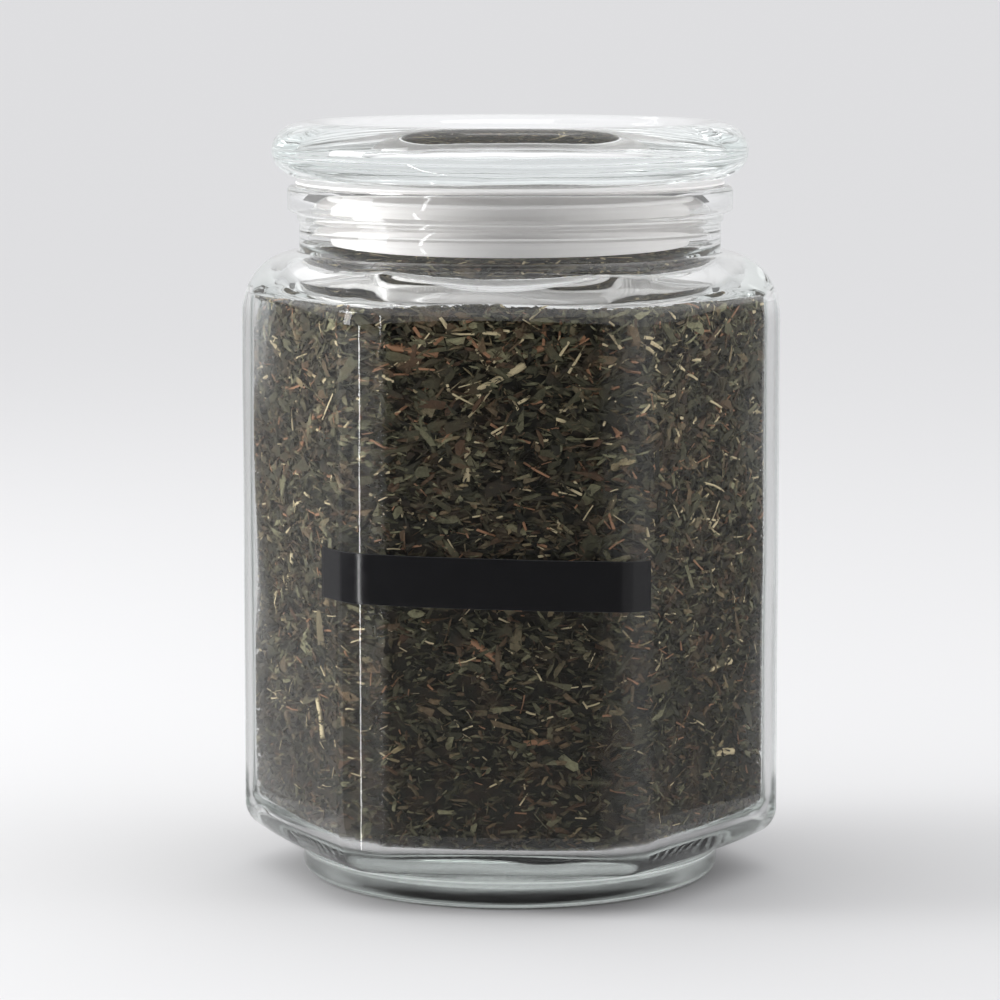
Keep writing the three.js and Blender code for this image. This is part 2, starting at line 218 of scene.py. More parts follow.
class JarGlassSettings(PropertyGroup):
    """Sizes and tint of the jar and its lid."""

    panel_reach: metres("Panel reach", "From the jar's axis to the middle of a panel", 45.4 * MM)
    corner_radius: metres("Corner radius", "Radius of the corner between two panels", 8 * MM)
    inner_corner_radius: metres(
        "Inner corner radius", "Radius of the corner inside, where the glass is thickest", 14 * MM
    )
    panel_bow: radians(
        "Panel bow", "Half of the angle that a panel's shallow arc turns", math.radians(7)
    )
    wall: metres("Wall", "Thickness of the glass wall", 2.5 * MM)
    foot_radius: metres("Foot radius", "Radius of the round foot", 38.6 * MM)
    neck_radius: metres("Neck radius", "Outer radius of the neck", 38.7 * MM)
    mouth_radius: metres("Mouth radius", "Inner radius of the neck", 36.6 * MM)
    collar_radius: metres("Collar radius", "Radius of the band round the mouth", 40.9 * MM)
    lid_radius: metres("Lid radius", "Radius of the lid's fat rim", 43.7 * MM)
    waviness: metres("Waviness", "How far the inner face of the blown glass wanders", 0.12 * MM)
    jar_tint: hue(
        "Jar tint", "Colour that the jar's glass takes where it is thick", (0.60, 0.66, 0.635)
    )
    jar_tint_strength: amount(
        "Jar tint strength", "How fast the tint deepens with the thickness of the jar's glass", 14.0
    )
    lid_tint: hue(
        "Lid tint", "Colour that the lid's glass takes where it is thick", (0.62, 0.85, 0.82)
    )
    lid_tint_strength: amount(
        "Lid tint strength", "How fast the tint deepens with the thickness of the lid's glass", 2.0
    )


class JarSealSettings(PropertyGroup):
    """Finish of the ribbed seal."""

    colour: hue("Seal colour", "Colour of the milky plastic", (0.97, 0.955, 0.94))


class JarTapeSettings(PropertyGroup):
    """Sizes and finish of the label tape."""

    height: metres("Tape height", "Width of the tape off the roll", 9 * MM)
    thickness: metres("Tape thickness", "Thickness of the tape with its glue", 0.34 * MM)
    lean: radians("Tape lean", "How far the tape runs downhill to the right", math.radians(1.2))
    colour: hue("Tape colour", "Colour of the tape", (0.006, 0.006, 0.0068))


class JarHerbSettings(PropertyGroup):
    """Sizes and colours of the cut herb."""

    top: metres("Herb top", "Height of the herb where it meets the glass", 107.9 * MM)
    mound: metres("Mound", "How much higher the heap is in its middle", 2.6 * MM)
    coarse_scraps: whole("Coarse scraps", "Number of larger leaf scraps against the glass", 8200)
    fine_scraps: whole("Fine scraps", "Number of smaller leaf scraps against the glass", 32000)
    heap_scraps: whole("Heap scraps", "Number of leaf scraps on the heap", 4200)
    seed: whole("Seed", "Number that the scatter starts from", 7)
    # The darkest leaf colour is also the painted shade of the packed bulk between the scraps.
    leaf_deep_and_shade: hue("Deep leaf", "Darkest leaf colour", (0.016, 0.015, 0.010))
    leaf_green: hue("Green leaf", "Upper side of a leaf", (0.060, 0.057, 0.030))
    leaf_grey: hue("Grey leaf", "Pale underside of a leaf", (0.175, 0.168, 0.095))
    leaf_brown: hue("Brown leaf", "Withered leaf", (0.090, 0.046, 0.024))
    straw: hue("Straw", "Split straw-coloured stem", (0.42, 0.34, 0.18))
    twig: hue("Twig", "Reddish-brown stem", (0.26, 0.115, 0.050))


class JarStageSettings(PropertyGroup):
    """Camera, floor and lights."""

    camera_away: metres(
        "Camera distance", "Level distance from the jar's axis to the camera", 750 * MM
    )
    camera_height: metres("Camera height", "Height of the camera above the floor", 165.1 * MM)
    camera_turn: radians(
        "Camera turn",
        "How far the camera stands to the right of the labelled panel",
        math.radians(4),
    )
    camera_pitch: radians("Camera pitch", "How far the camera looks down", math.radians(7.316))
    camera_aside: metres("Camera aside", "How far the camera stands to its own left", 1.85 * MM)
    lens_mm: amount("Lens", "Focal length of the camera, in millimetres", 146.95)
    floor_colour: hue("Floor colour", "Colour of the pale floor", (0.785, 0.785, 0.785))


SETTINGS = {
    "jar_glass": JarGlassSettings,
    "jar_seal": JarSealSettings,
    "jar_tape": JarTapeSettings,
    "jar_herb": JarHerbSettings,
    "jar_stage": JarStageSettings,
}


# ---------- the jar's outline ----------


class Outline:
    """A panelled face seen from above, as points that each have a middle, a radius and a normal."""

    def __init__(self, glass, panel_steps, corner_steps, inner=False):
        bow = glass.panel_bow
        panel_reach = glass.panel_reach - (glass.wall if inner else 0)
        corner_radius = glass.inner_corner_radius if inner else glass.corner_radius
        between = (panel_reach - corner_radius) / (
            1 - math.cos(bow) + math.sin(bow) / math.tan(SECTOR / 2)
        )
        panel_radius = between + corner_radius
        corner_middle = between * math.sin(bow) / math.sin(SECTOR / 2)
        rows = []
        for panel in range(PANELS):
            facing = FRONT + panel * SECTOR
            for i in range(panel_steps):
                normal = facing - bow + 2 * bow * i / panel_steps
                rows.append((panel_reach - panel_radius, facing, panel_radius, normal))
            for i in range(corner_steps):
                normal = facing + bow + (SECTOR - 2 * bow) * i / corner_steps
                rows.append((corner_middle, facing + SECTOR / 2, corner_radius, normal))
        away, towards, radius, normal = np.array(rows).T
        self.normal = normal
        self.radius = radius
        self.middle = np.stack([away * np.cos(towards), away * np.sin(towards)], 1)
        self.out = np.stack([np.cos(normal), np.sin(normal)], 1)
        outer = self.at(0)
        self.round = outer / np.linalg.norm(outer, axis=1)[:, None]

    def at(self, inset):
        """Points of the outline set in by inset."""
        return self.middle + (self.radius - inset)[:, None] * self.out

    def level(self, z, inset=0.0, radius=0.0, roundness=0.0):
        """One level of the jar: the outline, drawn towards a circle by the share roundness."""
        flat = self.at(inset) * (1 - roundness) + self.round * radius * roundness
        return np.column_stack([flat, np.full(len(flat), z)])


def quarter_steps(count):
    """Even angles from 0 to a quarter turn."""
    return [QUARTER * i / count for i in range(count + 1)]


def band(low, high, around):
    """Quads between two rings of points that start at low and at high."""
    i = np.arange(around)
    after = (i + 1) % around
    return np.stack([low + i, low + after, high + after, high + i], 1)


def skin_faces(rings, around):
    """Quads between rings of points, and a fan at each end from points 0 and the last one."""
    i = np.arange(around)
    after = (i + 1) % around
    starts = 1 + np.arange(rings) * around
    quads = [band(low, low + around, around) for low in starts[:-1]]
    last = 1 + rings * around
    top = last - around
    first_fan = np.stack([np.zeros_like(i), 1 + after, 1 + i], 1)
    last_fan = np.stack([top + i, top + after, np.full_like(i, last)], 1)
    return np.concatenate(quads).tolist() + first_fan.tolist() + last_fan.tolist()


def skin(levels, first, last):
    """Points and faces of a closed skin over levels, closed at the points first and last."""
    points = np.concatenate([[first], *levels, [last]])
    return points, skin_faces(len(levels), len(levels[0]))


def turned(profile, around):
    """Points and faces of a closed profile, rows of (radius, z), revolved about the axis."""
    profile = np.array(profile)
    angle = np.linspace(0, 2 * math.pi, around, endpoint=False)
    on_axis = profile[:, 0] < 1e-9
    rings = profile[~on_axis]
    points = np.stack(
        [
            rings[:, None, 0] * np.cos(angle),
            rings[:, None, 0] * np.sin(angle),
            np.repeat(rings[:, 1:2], around, 1),
        ],
        2,
    ).reshape(-1, 3)
    if on_axis.any():
        first, last = profile[0], profile[-1]
        points = np.concatenate([[(0, 0, first[1])], points, [(0, 0, last[1])]])
        return points, skin_faces(len(rings), around)
    starts = np.arange(len(rings)) * around
    faces = [band(low, high, around) for low, high in zip(starts, np.roll(starts, -1))]
    return points, np.concatenate(faces).tolist()


def outward(points):
    """How far each point lies from the axis, and its level direction away from it."""
    away = np.linalg.norm(points[:, :2], axis=1)
    return away, points[:, :2] / np.maximum(away, 1e-9)[:, None]


def rounded(corners, radius, steps=4):
    """A profile, rows of (radius, z), with its inner corners turned into small arcs."""
    made = [corners[0]]
    for before, corner, after in zip(corners, corners[1:], corners[2:]):
        a, c, b = Vector(before), Vector(corner), Vector(after)
        reach = min(radius, (a - c).length * 0.45, (b - c).length * 0.45)
        start = c + (a - c).normalized() * reach
        end = c + (b - c).normalized() * reach
        for i in range(steps + 1):
            t = i / steps
            made.append(tuple(start * (1 - t) ** 2 + c * 2 * t * (1 - t) + end * t**2))
    made.append(corners[-1])
    return made


def spaced(profile, most):
    """The profile with long straight runs cut into pieces no longer than most."""
    made = [tuple(profile[0])]
    for a, b in zip(profile, profile[1:]):
        count = max(1, math.ceil(math.dist(a, b) / most))
        for i in range(1, count + 1):
            t = i / count
            made.append((a[0] + (b[0] - a[0]) * t, a[1] + (b[1] - a[1]) * t))
    return made


def ripple(points, seed, size, count=14):
    """A smooth random height for each point, about -1 to 1, with waves of about this size."""
    rng = np.random.default_rng(seed)
    total = np.zeros(len(points))
    for _ in range(count):
        way = rng.normal(size=3)
        way *= 2 * math.pi / size / np.linalg.norm(way) * rng.uniform(0.5, 1.5)
        total += np.sin(points @ way + rng.uniform(0, 2 * math.pi))
    return total / math.sqrt(count / 2) / 1.6


# ---------- pieces and materials ----------


def add_object(name, data):
    """An object of this data, in the scene."""
    made = bpy.data.objects.new(name, data)
    bpy.context.scene.collection.objects.link(made)
    return made


def add_quad(name, corners, material):
    """A flat, four-cornered mesh, for the stage."""
    mesh = bpy.data.meshes.new(name)
    mesh.from_pydata(corners, [], [(0, 1, 2, 3)])
    mesh.materials.append(material)
    return add_object(name, mesh)


def mark(piece, name, domain, values):
    """Gives a piece one number for each of its points or faces, which its material reads."""
    layer = piece.data.attributes.new(name, "FLOAT", domain)
    layer.data.foreach_set("value", values.astype(np.float32))


def make_piece(name, points, faces, material, replaces=(), smooth=True):
    """Makes a mesh piece that rides on the frame and stands for the nodes named."""
    mesh = bpy.data.meshes.new(name)
    mesh.from_pydata(np.asarray(points).tolist(), [], faces)
    mesh.polygons.foreach_set("use_smooth", np.full(len(mesh.polygons), smooth))
    mesh.materials.append(material)
    mesh.update()
    piece = add_object(name, mesh)
    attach(piece, "root")
    if replaces:
        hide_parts(*replaces)
    return piece


class Nodes:
    """The nodes of a material or of the world, made one after another."""

    def __init__(self, tree):
        self.nodes = tree.nodes
        self.links = tree.links

    def node(self, kind, inputs=None, **options):
        """A node with its options set, and its inputs set or linked."""
        made = self.nodes.new(kind)
        for name, value in options.items():
            setattr(made, name, value)
        for name, value in (inputs or {}).items():
            if isinstance(value, bpy.types.NodeSocket):
                self.links.new(value, made.inputs[name])
            else:
                made.inputs[name].default_value = value
        return made

    def maths(self, operation, a, b):
        return self.node("ShaderNodeMath", {0: a, 1: b}, operation=operation).outputs[0]

    def span(self, value, low, high, start=0.0, end=1.0):
        """Turns a value from start to end into one from low to high."""
        inputs = {"Value": value, "From Min": start, "From Max": end}
        inputs |= {"To Min": low, "To Max": high}
        return self.node("ShaderNodeMapRange", inputs).outputs["Result"]

    def ramp(self, value, stops, interpolation="LINEAR"):
        """The colour at a value between 0 and 1, from stops of (place, colour)."""
        made = self.node("ShaderNodeValToRGB", {"Fac": value})
        ramp = made.color_ramp
        ramp.interpolation = interpolation
        while len(ramp.elements) < len(stops):
            ramp.elements.new(0.5)
        for element, (at, colour) in zip(ramp.elements, stops):
            element.position = at
            element.color = (*colour, 1)
        return made.outputs["Color"]

    def mixed(self, factor, a, b, blend="MIX"):
        """A mix of two colours, where each of the three is a socket or a value."""
        made = self.node("ShaderNodeMix", data_type="RGBA", blend_type=blend, clamp_factor=True)
        for socket, value in ((made.inputs[0], factor), (made.inputs[6], a), (made.inputs[7], b)):
            if isinstance(value, bpy.types.NodeSocket):
                self.links.new(value, socket)
            elif isinstance(value, (int, float)):
                socket.default_value = value
            else:
                socket.default_value = (*value, 1)
        return made.outputs[2]


class Shader(Nodes):
    """A material, with its nodes round one main surface."""

    def __init__(self, name):
        self.material = bpy.data.materials.new(name)
        self.material.use_nodes = True
        super().__init__(self.material.node_tree)
        self.surface = self.nodes["Principled BSDF"]
        self.output = self.nodes["Material Output"]

    def set(self, **values):
        """Sets inputs of the surface. An underscore stands for a space in an input's name."""
        for name, value in values.items():
            self.surface.inputs[name.replace("_", " ")].default_value = value

    def link(self, value, name):
        self.links.new(value, self.surface.inputs[name])

    def attribute(self, name):
        return self.node("ShaderNodeAttribute", attribute_name=name).outputs["Fac"]

    def height(self):
        where = self.node("ShaderNodeTexCoord").outputs["Object"]
        return self.node("ShaderNodeSeparateXYZ", {"Vector": where}).outputs["Z"]

    def noise(self, scale, detail=3.0, roughness=0.5, stretch=(1, 1, 1)):
        where = self.node("ShaderNodeTexCoord").outputs["Object"]
        spread = self.node("ShaderNodeMapping", {"Vector": where, "Scale": stretch})
        inputs = {"Scale": scale, "Detail": detail, "Roughness": roughness}
        inputs["Vector"] = spread.outputs[0]
        return self.node("ShaderNodeTexNoise", inputs).outputs["Fac"]

    def bump(self, height, distance, strength=1.0):
        inputs = {"Height": height, "Distance": distance, "Strength": strength}
        self.link(self.node("ShaderNodeBump", inputs).outputs["Normal"], "Normal")


def shade(colour, share):
    """A colour made darker, or paler where share is over 1."""
    return tuple(c * share for c in colour)


def clear_glass(name, tint, tint_strength, foot_clear=GLASS_CLEAR):
    """Tinted glass that is rough where it is dull."""
    shader = Shader(name)
    shader.set(Base_Color=(1, 1, 1, 1), Transmission_Weight=1.0, IOR=1.51)
    shader.link(shader.attribute("dull"), "Roughness")
    depth = {"Color": (*tint, 1), "Density": tint_strength}
    absorb = shader.node("ShaderNodeVolumeAbsorption", depth)
    shader.links.new(absorb.outputs[0], shader.output.inputs["Volume"])
    shader.bump(shader.noise(70.0, detail=2.0), 0.03 * MM, 0.5)
    # Lamps and bounced light pass straight through, and only the thick foot holds much back.
    path = shader.node("ShaderNodeLightPath").outputs
    soft = shader.maths("MAXIMUM", path["Is Shadow Ray"], path["Is Diffuse Ray"])
    clear = shader.span(shader.height(), foot_clear, GLASS_CLEAR, *FOOT_FADE)
    through = shader.node("ShaderNodeBsdfTransparent", {"Color": clear})
    # A ray that has wandered for long inside the glass leaves it, and isn't lost in there.
    wandered = shader.maths("GREATER_THAN", path["Ray Depth"], WANDERING_LIMIT)
    leaving = shader.node("ShaderNodeBsdfTransparent", {"Color": (1, 1, 1, 1)})
    shown = shader.surface
    for factor, other in ((wandered, leaving), (soft, through)):
        sockets = {0: factor, 1: shown.outputs[0], 2: other.outputs[0]}
        shown = shader.node("ShaderNodeMixShader", sockets)
    shader.links.new(shown.outputs[0], shader.output.inputs["Surface"])
    return shader.material


def milky_plastic(seal):
    """Translucent plastic, a little streaked up and down."""
    shader = Shader("milky_seal_plastic")
    shader.set(IOR=1.5, Transmission_Weight=0.25)
    streak = shader.noise(90.0, stretch=(1, 1, 6))
    dim = shade(seal.colour, 0.82)
    colour = shader.mixed(shader.span(streak, 0.0, 0.35), seal.colour, dim)
    shader.link(colour, "Base Color")
    shader.link(shader.span(streak, 0.30, 0.5), "Roughness")
    shader.bump(shader.noise(900.0), 0.02 * MM, 0.4)
    return shader.material


def gloss_tape(tape):
    """Black plastic film with a slight orange peel."""
    shader = Shader("black_gloss_tape")
    shader.set(IOR=1.5, Coat_Weight=0.3, Coat_Roughness=0.12)
    cloud = shader.noise(260.0, detail=4.0)
    colour = shader.mixed(cloud, tape.colour, shade(tape.colour, 1.7))
    shader.link(colour, "Base Color")
    shader.link(shader.span(shader.noise(1400.0, stretch=(0.2, 0.2, 1)), 0.14, 0.30), "Roughness")
    shader.bump(shader.noise(420.0, detail=2.0), 0.02 * MM, 0.5)
    return shader.material


def dried_leaf(herb):
    """Leaf scraps. Each one's tone picks its colour, and fine noise gives it veins and specks."""
    shader = Shader("dried_balm_leaf")
    tone = shader.attribute("tone")
    colour = shader.ramp(
        tone,
        [
            (0.00, herb.leaf_deep_and_shade),
            (0.30, herb.leaf_green),
            (0.52, shade(herb.leaf_green, 1.35)),
            (0.70, herb.leaf_grey),
            (0.84, shade(herb.leaf_grey, 1.7)),
            (0.91, herb.leaf_brown),
            (1.00, shade(herb.straw, 0.8)),
        ],
    )
    speck = shader.noise(1500.0, detail=3.0, roughness=0.65)
    mottled = shader.mixed(shader.span(speck, -0.3, 0.9), colour, herb.leaf_deep_and_shade)
    patch = shader.noise(220.0, detail=2.0)
    warm = shader.mixed(shader.span(patch, -0.6, 0.7), mottled, herb.leaf_brown)
    shader.link(warm, "Base Color")
    shader.link(shader.span(speck, 0.62, 0.9), "Roughness")
    shader.set(Specular_IOR_Level=0.35)
    shader.bump(shader.noise(2600.0, detail=3.0), 0.10 * MM, 0.7)
    return shader.material


def dry_stem(name, colour, dark):
    """Split stem with a fine grain. Each one's tone darkens it."""
    shader = Shader(name)
    grain = shader.noise(2400.0, detail=4.0, roughness=0.6)
    broad = shader.noise(320.0, detail=2.0)
    tone = shader.attribute("tone")
    base = shader.mixed(shader.span(grain, 0.0, 0.8), colour, dark)
    aged = shader.mixed(shader.span(broad, -0.2, 0.6), base, shade(colour, 0.55))
    shaded = shader.mixed(shader.span(tone, 0.0, 0.7), aged, shade(colour, 0.35))
    shader.link(shaded, "Base Color")
    shader.link(shader.span(grain, 0.5, 0.8), "Roughness")
    shader.set(Specular_IOR_Level=0.4)
    shader.bump(grain, 0.12 * MM, 0.7)
    return shader.material


# ---------- glass ----------


def shoulder_roundness(z):
    """How far the inside of the shoulder has drawn in towards the round mouth at a height."""
    knots = SHOULDER_ROOF[::-1]
    smooth = [np.interp(z + shift, knots[:, 0], knots[:, 1]) for shift in ROOF_BLEND]
    return sum(smooth) / len(smooth)


def circles(rows):
    """Round levels of the jar, from rows of (height, radius)."""
    return [dict(z=z, radius=radius, roundness=1) for z, radius in rows]


def foot_levels(glass):
    """From the push-up below, over the bearing ring, to the waist above the foot."""
    radius = glass.foot_radius
    rows = [(PUSH_UP, PUSH_UP_RADIUS * share) for share in (0.25, 0.6, 0.9, 1)]
    rows.append((PUSH_UP * 0.5, (PUSH_UP_RADIUS + BEARING_INNER) / 2))
    ring = radius - FOOT_EDGE - BEARING_INNER
    rows += [(0.0, BEARING_INNER + ring * i / 6) for i in range(6)]
    rows += [
        (FOOT_EDGE * (1 - math.cos(u)), radius - FOOT_EDGE * (1 - math.sin(u)))
        for u in quarter_steps(6)
    ]
    rows += [(FOOT_TOP * 0.75, radius), (FOOT_TOP, radius - 0.1 * MM)]
    return circles(rows) + [
        dict(z=FOOT_TOP + 0.5 * MM, radius=radius + 0.3 * MM, roundness=0.97),
        dict(z=HEEL_BOTTOM - 0.5 * MM, inset=HEEL_RADIUS, radius=radius, roundness=0.5),
    ]


def body_levels(glass):
    """The heel, the panelled wall and the outside of the shoulder."""
    heel = [
        dict(z=HEEL_BOTTOM + HEEL_RADIUS * (1 - math.cos(u)), inset=HEEL_RADIUS * (1 - math.sin(u)))
        for u in quarter_steps(8)
    ]
    rise = [
        dict(z=HEEL_BOTTOM + HEEL_RADIUS + (SHOULDER_FROM - HEEL_BOTTOM - HEEL_RADIUS) * i / 30)
        for i in range(1, 30)
    ]
    shoulder = [
        dict(
            z=SHOULDER_FROM + SHOULDER_HEIGHT * math.sin(u),
            radius=glass.neck_radius,
            roundness=1 - math.cos(u),
        )
        for u in quarter_steps(16)
    ]
    return heel + rise + shoulder


def neck_levels(glass):
    """Up the neck and its collar, over the mouth and down inside."""
    neck, collar, mouth = glass.neck_radius, glass.collar_radius, glass.mouth_radius
    edge = COLLAR_EDGE
    rows = [
        (NECK_MIDDLE, neck),
        (STEP_FROM - 0.1 * MM, neck),
        (STEP_FROM + STEP / 2, neck + STEP * 0.8),
        (STEP_FROM + STEP, neck + STEP),
        (COLLAR_FROM - 0.2 * MM, neck + STEP),
        (COLLAR_FROM + 0.15 * MM, neck + STEP + 0.3 * MM),
        (COLLAR_FROM + edge * 0.6, collar - 0.2 * MM),
        (COLLAR_FROM + edge, collar),
        ((COLLAR_FROM + MOUTH_TOP) / 2, collar),
        (MOUTH_TOP - edge, collar),
        (MOUTH_TOP - edge * 0.3, collar - edge * 0.3),
        (MOUTH_TOP, collar - edge),
        (MOUTH_TOP, mouth + edge),
        (MOUTH_TOP - edge * 0.3, mouth + edge * 0.3),
        (MOUTH_TOP - edge, mouth),
        (NECK_MIDDLE + 4 * MM, mouth),
        (NECK_MIDDLE, mouth),
    ]
    return circles(rows)


def inside_levels(glass):
    """Down the inside from the shoulder to the floor."""
    fine = np.linspace(SHOULDER_ROOF[0, 0], SHOULDER_ROOF[-1, 0], 32)
    inner = [dict(z=z, radius=glass.mouth_radius, roundness=shoulder_roundness(z)) for z in fine]
    inner_high = SHOULDER_ROOF[-1, 0]
    inner_low = FLOOR_TOP + FLOOR_FILLET
    inner += [dict(z=inner_high + (inner_low - inner_high) * i / 30) for i in range(1, 30)]
    inner += [
        dict(
            z=FLOOR_TOP + FLOOR_FILLET * (1 - math.sin(u)),
            inset=FLOOR_FILLET * (1 - math.cos(u)),
        )
        for u in quarter_steps(8)
    ]
    inner += [
        dict(z=FLOOR_TOP, inset=FLOOR_FILLET, roundness=share)
        for share in (0.1, 0.3, 0.5, 0.7, 0.9)
    ]
    return inner


def make_glass_jar(glass):
    outline = Outline(glass, PANEL_STEPS, CORNER_STEPS)
    inner_outline = Outline(glass, PANEL_STEPS, CORNER_STEPS, inner=True)
    outer = foot_levels(glass) + body_levels(glass) + neck_levels(glass)
    levels = [outline.level(**spec) for spec in outer]
    levels += [inner_outline.level(**spec) for spec in inside_levels(glass)]
    points, faces = skin(levels, (0, 0, PUSH_UP), (0, 0, FLOOR_TOP))
    inside = np.zeros(len(points), bool)
    inside[1 + len(outer) * len(outline.normal) :] = True
    away, out = outward(points)
    height = points[:, 2]
    # The blown inner face wanders, and the moulded outer face much less.
    body = np.clip((height - FLOOR_TOP) / BLOWN_FADE, 0, 1)
    body *= np.clip((NECK_MIDDLE - height) / BLOWN_FADE, 0, 1)
    sway = ripple(points, seed=3, size=34 * MM)
    sway *= np.where(inside, glass.waviness, -0.4 * glass.waviness)
    points[:, :2] += out * (np.where(inside, sway, -np.abs(sway)) * body)[:, None]
    floor = inside & (height < FLOOR_TOP + 0.1 * MM)
    points[floor, 2] += ripple(points[floor], seed=5, size=22 * MM) * 0.25 * MM
    # Grip marks under the foot.
    bearing = (
        ~inside
        & (height < 0.05 * MM)
        & (away > BEARING_INNER + 0.3 * MM)
        & (away < glass.foot_radius - FOOT_EDGE - 0.3 * MM)
    )
    turn = np.arctan2(points[:, 1], points[:, 0])
    marks = np.clip(np.cos(turn * KNURLS), 0, 1) * KNURL_DEPTH
    points[bearing, 2] += marks[bearing]
    material = clear_glass("jar_glass", glass.jar_tint, glass.jar_tint_strength, FOOT_CLEAR)
    jar = make_piece("clear_jar", points, faces, material, ["glass_jar"])
    # Herb dust dulls the inner corners as high as the herb reaches. The foot is stippled below.
    bent = np.abs((outline.normal - FRONT + SECTOR / 2) % SECTOR - SECTOR / 2)
    bent = np.clip((bent - glass.panel_bow) / math.radians(5), 0, 1)
    bent = np.concatenate([[0], np.tile(bent, len(levels)), [0]])
    dusty = inside & (height < SHOULDER_FROM + 2 * MM) & ~floor
    stippled = ~inside & (height < PUSH_UP + 0.1 * MM) & (away < BEARING_INNER + 1 * MM)
    dull = np.select([dusty, floor | stippled], [DUST * bent, STIPPLE], 0.0)
    mark(jar, "dull", "POINT", dull)


def make_glass_lid(glass):
    middle = glass.lid_radius - LID_BULGE
    under = [
        (0, LID_CEILING),
        (PLUG_INNER, LID_CEILING),
        (PLUG_INNER, PLUG_BOTTOM),
        (PLUG_RADIUS, PLUG_BOTTOM),
        (PLUG_RADIUS, LID_UNDER),
        (middle, LID_UNDER),
    ]
    profile = rounded(under, radius=1.3 * MM, steps=6)
    half = (LID_TOP - LID_UNDER) / 2
    profile += [
        (middle + LID_BULGE * math.cos(u), LID_UNDER + half + half * math.sin(u))
        for u in np.linspace(-QUARTER, QUARTER, 41)[1:]
    ]
    top = [
        profile[-1],
        (LID_DISH_RADIUS + 3 * MM, LID_TOP - 0.3 * MM),
        (LID_DISH_RADIUS, LID_TOP - LID_DISH_DEPTH),
        (0, LID_TOP - LID_DISH_DEPTH),
    ]
    profile += rounded(top, radius=4.5 * MM, steps=8)[1:]
    profile = spaced(profile, most=1.6 * MM)
    points, faces = turned(profile, around=192)
    away, out = outward(points)
    rim = np.clip((away - 33 * MM) / (6 * MM), 0, 1)
    sag = np.abs(ripple(points, seed=11, size=18 * MM)) * 0.05 * MM * rim
    points[:, :2] -= out * sag[:, None]
    flat = away < 26 * MM
    points[flat, 2] -= np.abs(ripple(points[flat], seed=12, size=26 * MM)) * 0.08 * MM
    material = clear_glass("lid_glass", glass.lid_tint, glass.lid_tint_strength)
    make_piece("clear_lid", points, faces, material, ["glass_lid"])


# ---------- seal and tape ----------


def make_lid_seal(seal):
    corners = [
        (SEAL_INNER, SEAL_BOTTOM + 4 * MM),
        (SEAL_INNER, SEAL_BOTTOM),
        (SEAL_BODY, SEAL_BOTTOM),
    ]
    for rib in range(3):
        z = SEAL_RIB_FROM + rib * SEAL_RIB_PITCH
        corners += [
            (SEAL_BODY, z),
            (SEAL_RIB, z + SEAL_RIB_THICK * 0.35),
            (SEAL_RIB, z + SEAL_RIB_THICK),
            (SEAL_BODY, z + SEAL_RIB_THICK),
        ]
    corners += [
        (SEAL_BODY, MOUTH_TOP + SEAT_GAP),
        (SEAL_FLANGE, MOUTH_TOP + SEAT_GAP),
        (SEAL_FLANGE, LID_UNDER - SEAT_GAP),
        (SEAL_INNER, LID_UNDER - SEAT_GAP),
        (SEAL_INNER, SEAL_BOTTOM + 4.1 * MM),
    ]
    points, faces = turned(rounded(corners, radius=0.3 * MM, steps=3), around=160)
    make_piece("ribbed_seal", points, faces, milky_plastic(seal), ["lid_seal"])


def make_label_tape(glass, tape):
    outline = Outline(glass, panel_steps=60, corner_steps=24)
    near = outline.at(-0.05 * MM)
    keep = (near[:, 1] < 0) & (near[:, 0] > TAPE_FROM) & (near[:, 0] < TAPE_TO)
    order = np.argsort(near[keep, 0])
    foot = near[keep][order]
    out = outline.out[keep][order]
    # Half of the cross-section, from the glass to the face, with a soft edge.
    half = tape.height / 2
    section = [(0.0, -half + 0.05 * MM), (tape.thickness * 0.55, -half)]
    section += [
        (tape.thickness - TAPE_EDGE * (1 - math.sin(u)), -half + TAPE_EDGE * (1 - math.cos(u)))
        for u in quarter_steps(4)
    ]
    section += [(tape.thickness, -half * share) for share in (0.8, 0.5, 0.2)]
    section += [(depth, -up) for depth, up in reversed(section)]
    section = np.array(section)
    columns = len(foot)
    points = np.zeros((columns, len(section), 3))
    points[:, :, :2] = foot[:, None] + out[:, None] * section[None, :, :1]
    points[:, :, 2] = TAPE_MIDDLE + section[:, 1] - math.tan(tape.lean) * foot[:, :1]
    wander = ripple(points[:, 0], seed=21, size=16 * MM) * 0.04 * MM
    points[:, :, 2] += wander[:, None]
    faces = []
    rows = len(section)
    for column in range(columns - 1):
        for row in range(rows):
            a = column * rows + row
            b = column * rows + (row + 1) % rows
            faces.append((a, b, b + rows, a + rows))
    faces.append(tuple(range(rows))[::-1])
    faces.append(tuple(range((columns - 1) * rows, columns * rows)))
    points = points.reshape(-1, 3)
    make_piece("bare_label_tape", points, faces, gloss_tape(tape), ["label_tape"])


# ---------- herb ----------


